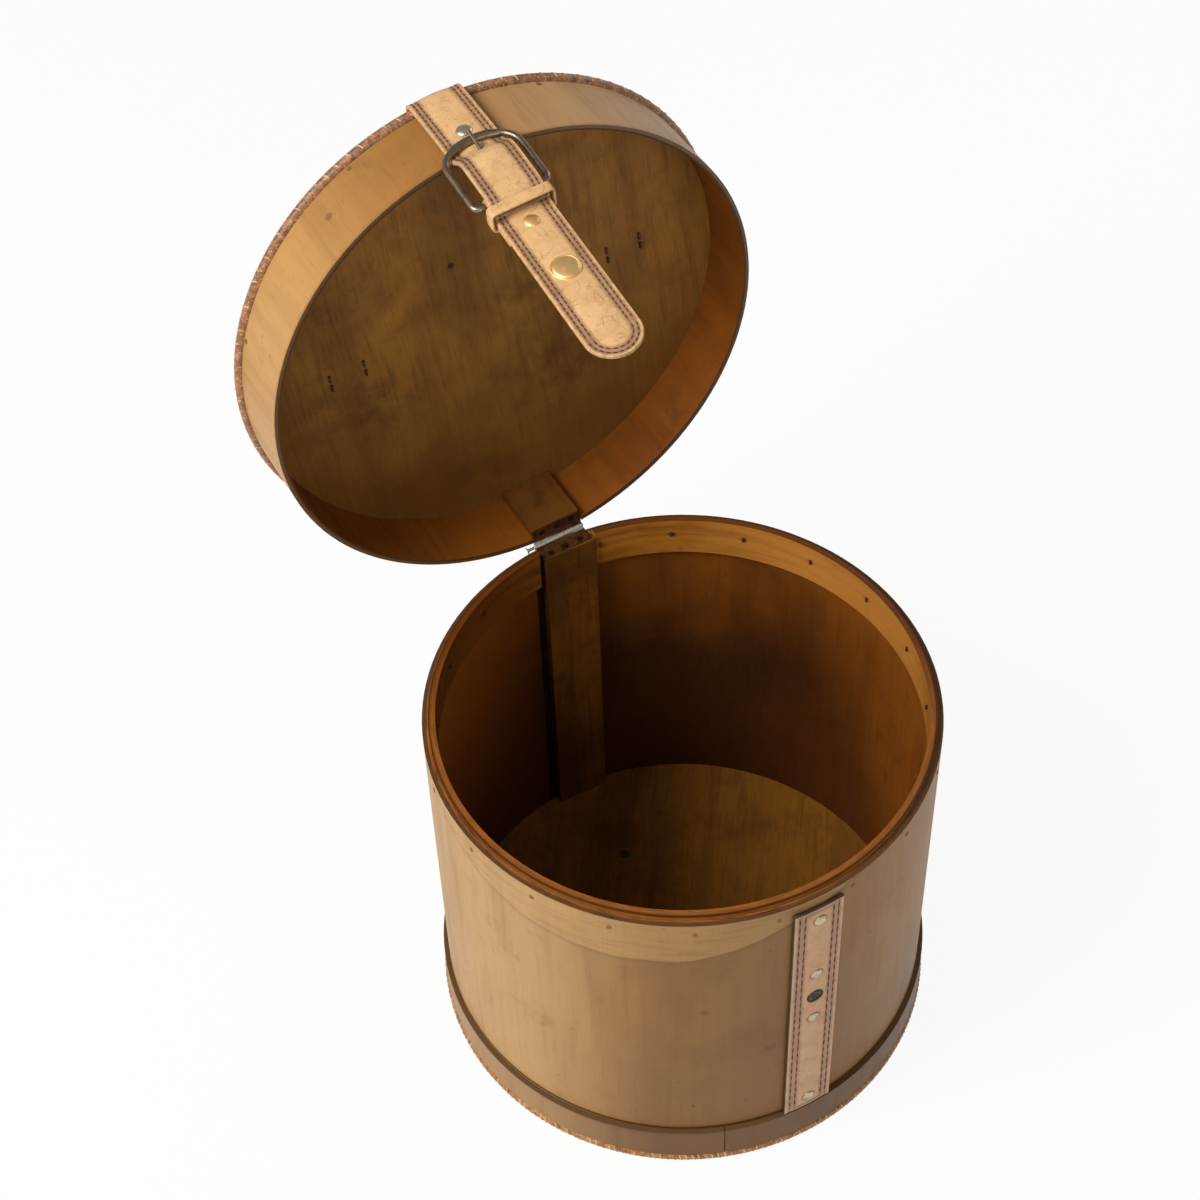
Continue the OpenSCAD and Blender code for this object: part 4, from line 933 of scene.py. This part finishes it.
# Buckle: a wire bent round in the strap's own plane, drawn with x across and y down the strap
buckle = {"half": 0.017, "corner": 0.011, "nose": 0.026, "noseS": 0.0032, "bar": 0.039, "wire": 0.0015,
          "foot": 0.0028, "n": 0.00275}


def buckleFrame():
    d = buckle
    inner = d["half"] - d["corner"]
    tilt = math.asin(inner / (d["nose"] - d["corner"]))
    cornerY = d["noseS"] + d["nose"] - (d["nose"] - d["corner"]) * math.cos(tilt)
    bm = bmesh.new()
    ring = bmesh.ops.create_circle(bm, segments=16, radius=d["wire"])["verts"]
    start = Matrix.Translation((-d["half"], d["bar"] - d["foot"], 0)) @ Matrix.Rotation(math.pi / 2, 4, "X")
    bmesh.ops.transform(bm, matrix=start, verts=ring)
    front = {"geom": bm.verts[:] + bm.edges[:]}

    def lastRing(made):
        return [g for g in made if isinstance(g, (bmesh.types.BMVert, bmesh.types.BMEdge))]

    def straight(geom, vec, steps):
        for _ in range(steps):
            made = bmesh.ops.extrude_edge_only(bm, edges=[g for g in geom if isinstance(g, bmesh.types.BMEdge)])
            geom = lastRing(made["geom"])
            bmesh.ops.translate(bm, vec=tuple(c / steps for c in vec), verts=[g for g in geom if isinstance(g, bmesh.types.BMVert)])
        return geom

    def bend(geom, centre, angle, steps):
        made = bmesh.ops.spin(bm, geom=geom, cent=(centre[0], centre[1], 0), axis=(0, 0, 1), angle=angle,
                              steps=steps, use_merge=False)
        return lastRing(made["geom_last"])

    geom = straight(front["geom"], (0, cornerY - d["bar"] + d["foot"], 0), 6)
    geom = bend(geom, (-inner, cornerY), math.pi / 2 - tilt, 8)
    geom = bend(geom, (0, d["noseS"] + d["nose"]), 2 * tilt, 14)
    geom = bend(geom, (inner, cornerY), math.pi / 2 - tilt, 8)
    geom = straight(geom, (0, d["bar"] - d["foot"] - cornerY, 0), 6)
    geom = bend(geom, (d["half"] - d["foot"], d["bar"] - d["foot"]), math.pi / 2, 5)
    geom = straight(geom, (-2 * (d["half"] - d["foot"]), 0, 0), 6)
    bend(geom, (-d["half"] + d["foot"], d["bar"] - d["foot"]), math.pi / 2, 5)
    bmesh.ops.remove_doubles(bm, verts=bm.verts, dist=2e-6)
    for v in bm.verts:  # nose hammered wide and flat
        front = min(max(1 - (v.co.y - d["noseS"]) / 0.012, 0), 1) if v.co.y < d["bar"] - 0.01 else 0
        middle = Vector((0, d["noseS"] + d["nose"], 0))
        away = (Vector((v.co.x, v.co.y, 0)) - middle)
        if front and abs(v.co.x) < inner + 0.004:
            v.co += away.normalized() * (away.length - d["nose"]) * 0.35 * front
        v.co.z *= 0.94 - 0.1 * front
    turn = hangPose(0, d["n"]) @ Matrix.Diagonal((1, -1, 1, 1))
    linkPiece("buckleFrame", bm, [pewter], "strap", ["buckle_frame"], turn, 60)


def buckleProng():
    d = buckle
    bm = bmesh.new()
    ring = bmesh.ops.create_circle(bm, segments=12, radius=0.001)["verts"]
    loop = 0.0026
    bmesh.ops.transform(bm, matrix=Matrix.Translation((0, d["bar"] + loop, 0)) @ Matrix.Rotation(math.pi / 2, 4, "Y")
                        @ Matrix.Rotation(math.pi / 2, 4, "X"), verts=ring)
    made = bmesh.ops.spin(bm, geom=bm.verts[:] + bm.edges[:], cent=(0, d["bar"], 0), axis=(1, 0, 0),
                          angle=math.radians(205), steps=18, use_merge=False)["geom_last"]
    geom = [g for g in made if isinstance(g, (bmesh.types.BMVert, bmesh.types.BMEdge))]
    tip = Vector((0, d["noseS"] - 0.0021, 0.0027))
    for i in range(10):
        edges = [g for g in geom if isinstance(g, bmesh.types.BMEdge)]
        geom = bmesh.ops.extrude_edge_only(bm, edges=edges)["geom"]
        verts = [g for g in geom if isinstance(g, bmesh.types.BMVert)]
        centre = sum((v.co for v in verts), Vector()) / len(verts)
        bmesh.ops.translate(bm, verts=verts, vec=(tip - centre) / (10 - i))
        if i > 5:
            bmesh.ops.scale(bm, vec=(0.94, 0.94, 0.94), space=Matrix.Translation(-((tip - centre) / (10 - i) + centre)), verts=verts)
    bmesh.ops.holes_fill(bm, edges=bm.edges, sides=16)
    turn = hangPose(0, d["n"]) @ Matrix.Diagonal((1, -1, 1, 1))
    linkPiece("buckleProng", bm, [pewter], "strap", ["buckle_prong"], turn, 60)


def keeperLoop():
    d = {"half": 0.0146, "low": -0.0028, "high": 0.00805, "start": 0.044, "long": 0.0053, "thick": 0.0009}
    bm = bmesh.new()
    cube = bmesh.ops.create_cube(bm, size=1.0)["verts"]
    middle = (d["low"] + d["high"]) / 2
    size = Matrix.Diagonal((2 * d["half"], d["long"], d["high"] - d["low"], 1))
    bmesh.ops.transform(bm, matrix=Matrix.Translation((0, d["start"] + d["long"] / 2, middle)) @ size, verts=cube)
    ends = [f for f in bm.faces if abs(f.normal.y) > 0.9]
    bmesh.ops.delete(bm, geom=ends, context="FACES_ONLY")
    corners = [e for e in bm.edges if len(e.link_faces) == 2]
    bmesh.ops.bevel(bm, geom=corners, offset=0.0022, offset_type="OFFSET", affect="EDGES", segments=4, profile=0.5, material=-1)
    bmesh.ops.recalc_face_normals(bm, faces=bm.faces)
    bmesh.ops.solidify(bm, geom=bm.faces[:], thickness=d["thick"])
    rims = [e for e in bm.edges if len(e.link_faces) == 2 and e.calc_face_angle(0) > 1.2]
    bmesh.ops.bevel(bm, geom=rims, offset=0.0002, offset_type="OFFSET", affect="EDGES", segments=2, profile=0.5, material=-1)
    edgeLayer = bm.verts.layers.float.new("edge")
    uv = bm.loops.layers.uv.new("flat")
    for v in bm.verts:
        v[edgeLayer] = 0.01
    for face in bm.faces:
        for loop in face.loops:
            loop[uv].uv = (loop.vert.co.x + loop.vert.co.z, loop.vert.co.y)
    turn = hangPose(0, 0) @ Matrix.Diagonal((1, -1, 1, 1))
    linkPiece("keeperLoop", bm, [strapHide], "strap", ["keeper_loop"], turn, 50)


buckleFrame()
buckleProng()
keeperLoop()
print("buckle is bent")

# Studio: white floor that shows the shadow, a wide soft light from the left, a weak one from the front
studio = {"floor": 40.0, "key": 38.0, "front": 7.5, "right": 4.5, "world": 0.24}


def plainFloor():
    bm = bmesh.new()
    bmesh.ops.create_grid(bm, x_segments=1, y_segments=1, size=studio["floor"])
    mesh = bpy.data.meshes.new("floor")
    bm.to_mesh(mesh)
    bm.free()
    f = Finish("floorPaper")
    seen = f.add("LightPath", out=0)
    glossy = f.add("LightPath", out=3)
    paper = f.add("BsdfDiffuse", None, {"Color": (0.86, 0.86, 0.86, 1)})
    glow = f.add("Emission", None, {"Color": (1, 1, 1, 1), "Strength": 1.0})
    share = f.add("Math", {"operation": "MAXIMUM"}, {0: seen, 1: glossy}) * 0.92
    both = f.add("MixShader", None, {0: share, 1: paper, 2: glow})
    f.add("OutputMaterial", None, {"Surface": both})
    mesh.materials.append(f.material)
    floor = bpy.data.objects.new("floor", mesh)
    bpy.context.scene.collection.objects.link(floor)


def softLamp(name, at, target, size, power):
    data = bpy.data.lights.new(name, "AREA")
    data.shape, data.size, data.energy = "DISK", size, power
    lamp = bpy.data.objects.new(name, data)
    bpy.context.scene.collection.objects.link(lamp)
    lamp.location = at
    lamp.rotation_euler = (Vector(target) - Vector(at)).to_track_quat("-Z", "Y").to_euler()


def studioLight():
    world = bpy.data.worlds.new("studio")
    bpy.context.scene.world = world
    world.use_nodes = True
    background = world.node_tree.nodes["Background"]
    background.inputs["Color"].default_value = (1, 1, 1, 1)
    background.inputs["Strength"].default_value = studio["world"]
    softLamp("key", (-1.35, 0.0, 1.62), (0, 0.05, 0.2), 0.9, studio["key"])
    softLamp("front", (-0.3, -1.7, 1.3), (0, 0.05, 0.2), 1.0, studio["front"])
    softLamp("right", (1.5, 0.5, 0.9), (0, 0.05, 0.2), 0.8, studio["right"])


plainFloor()
studioLight()
bpy.context.scene.view_settings.view_transform = "Standard"
print("studio is lit")
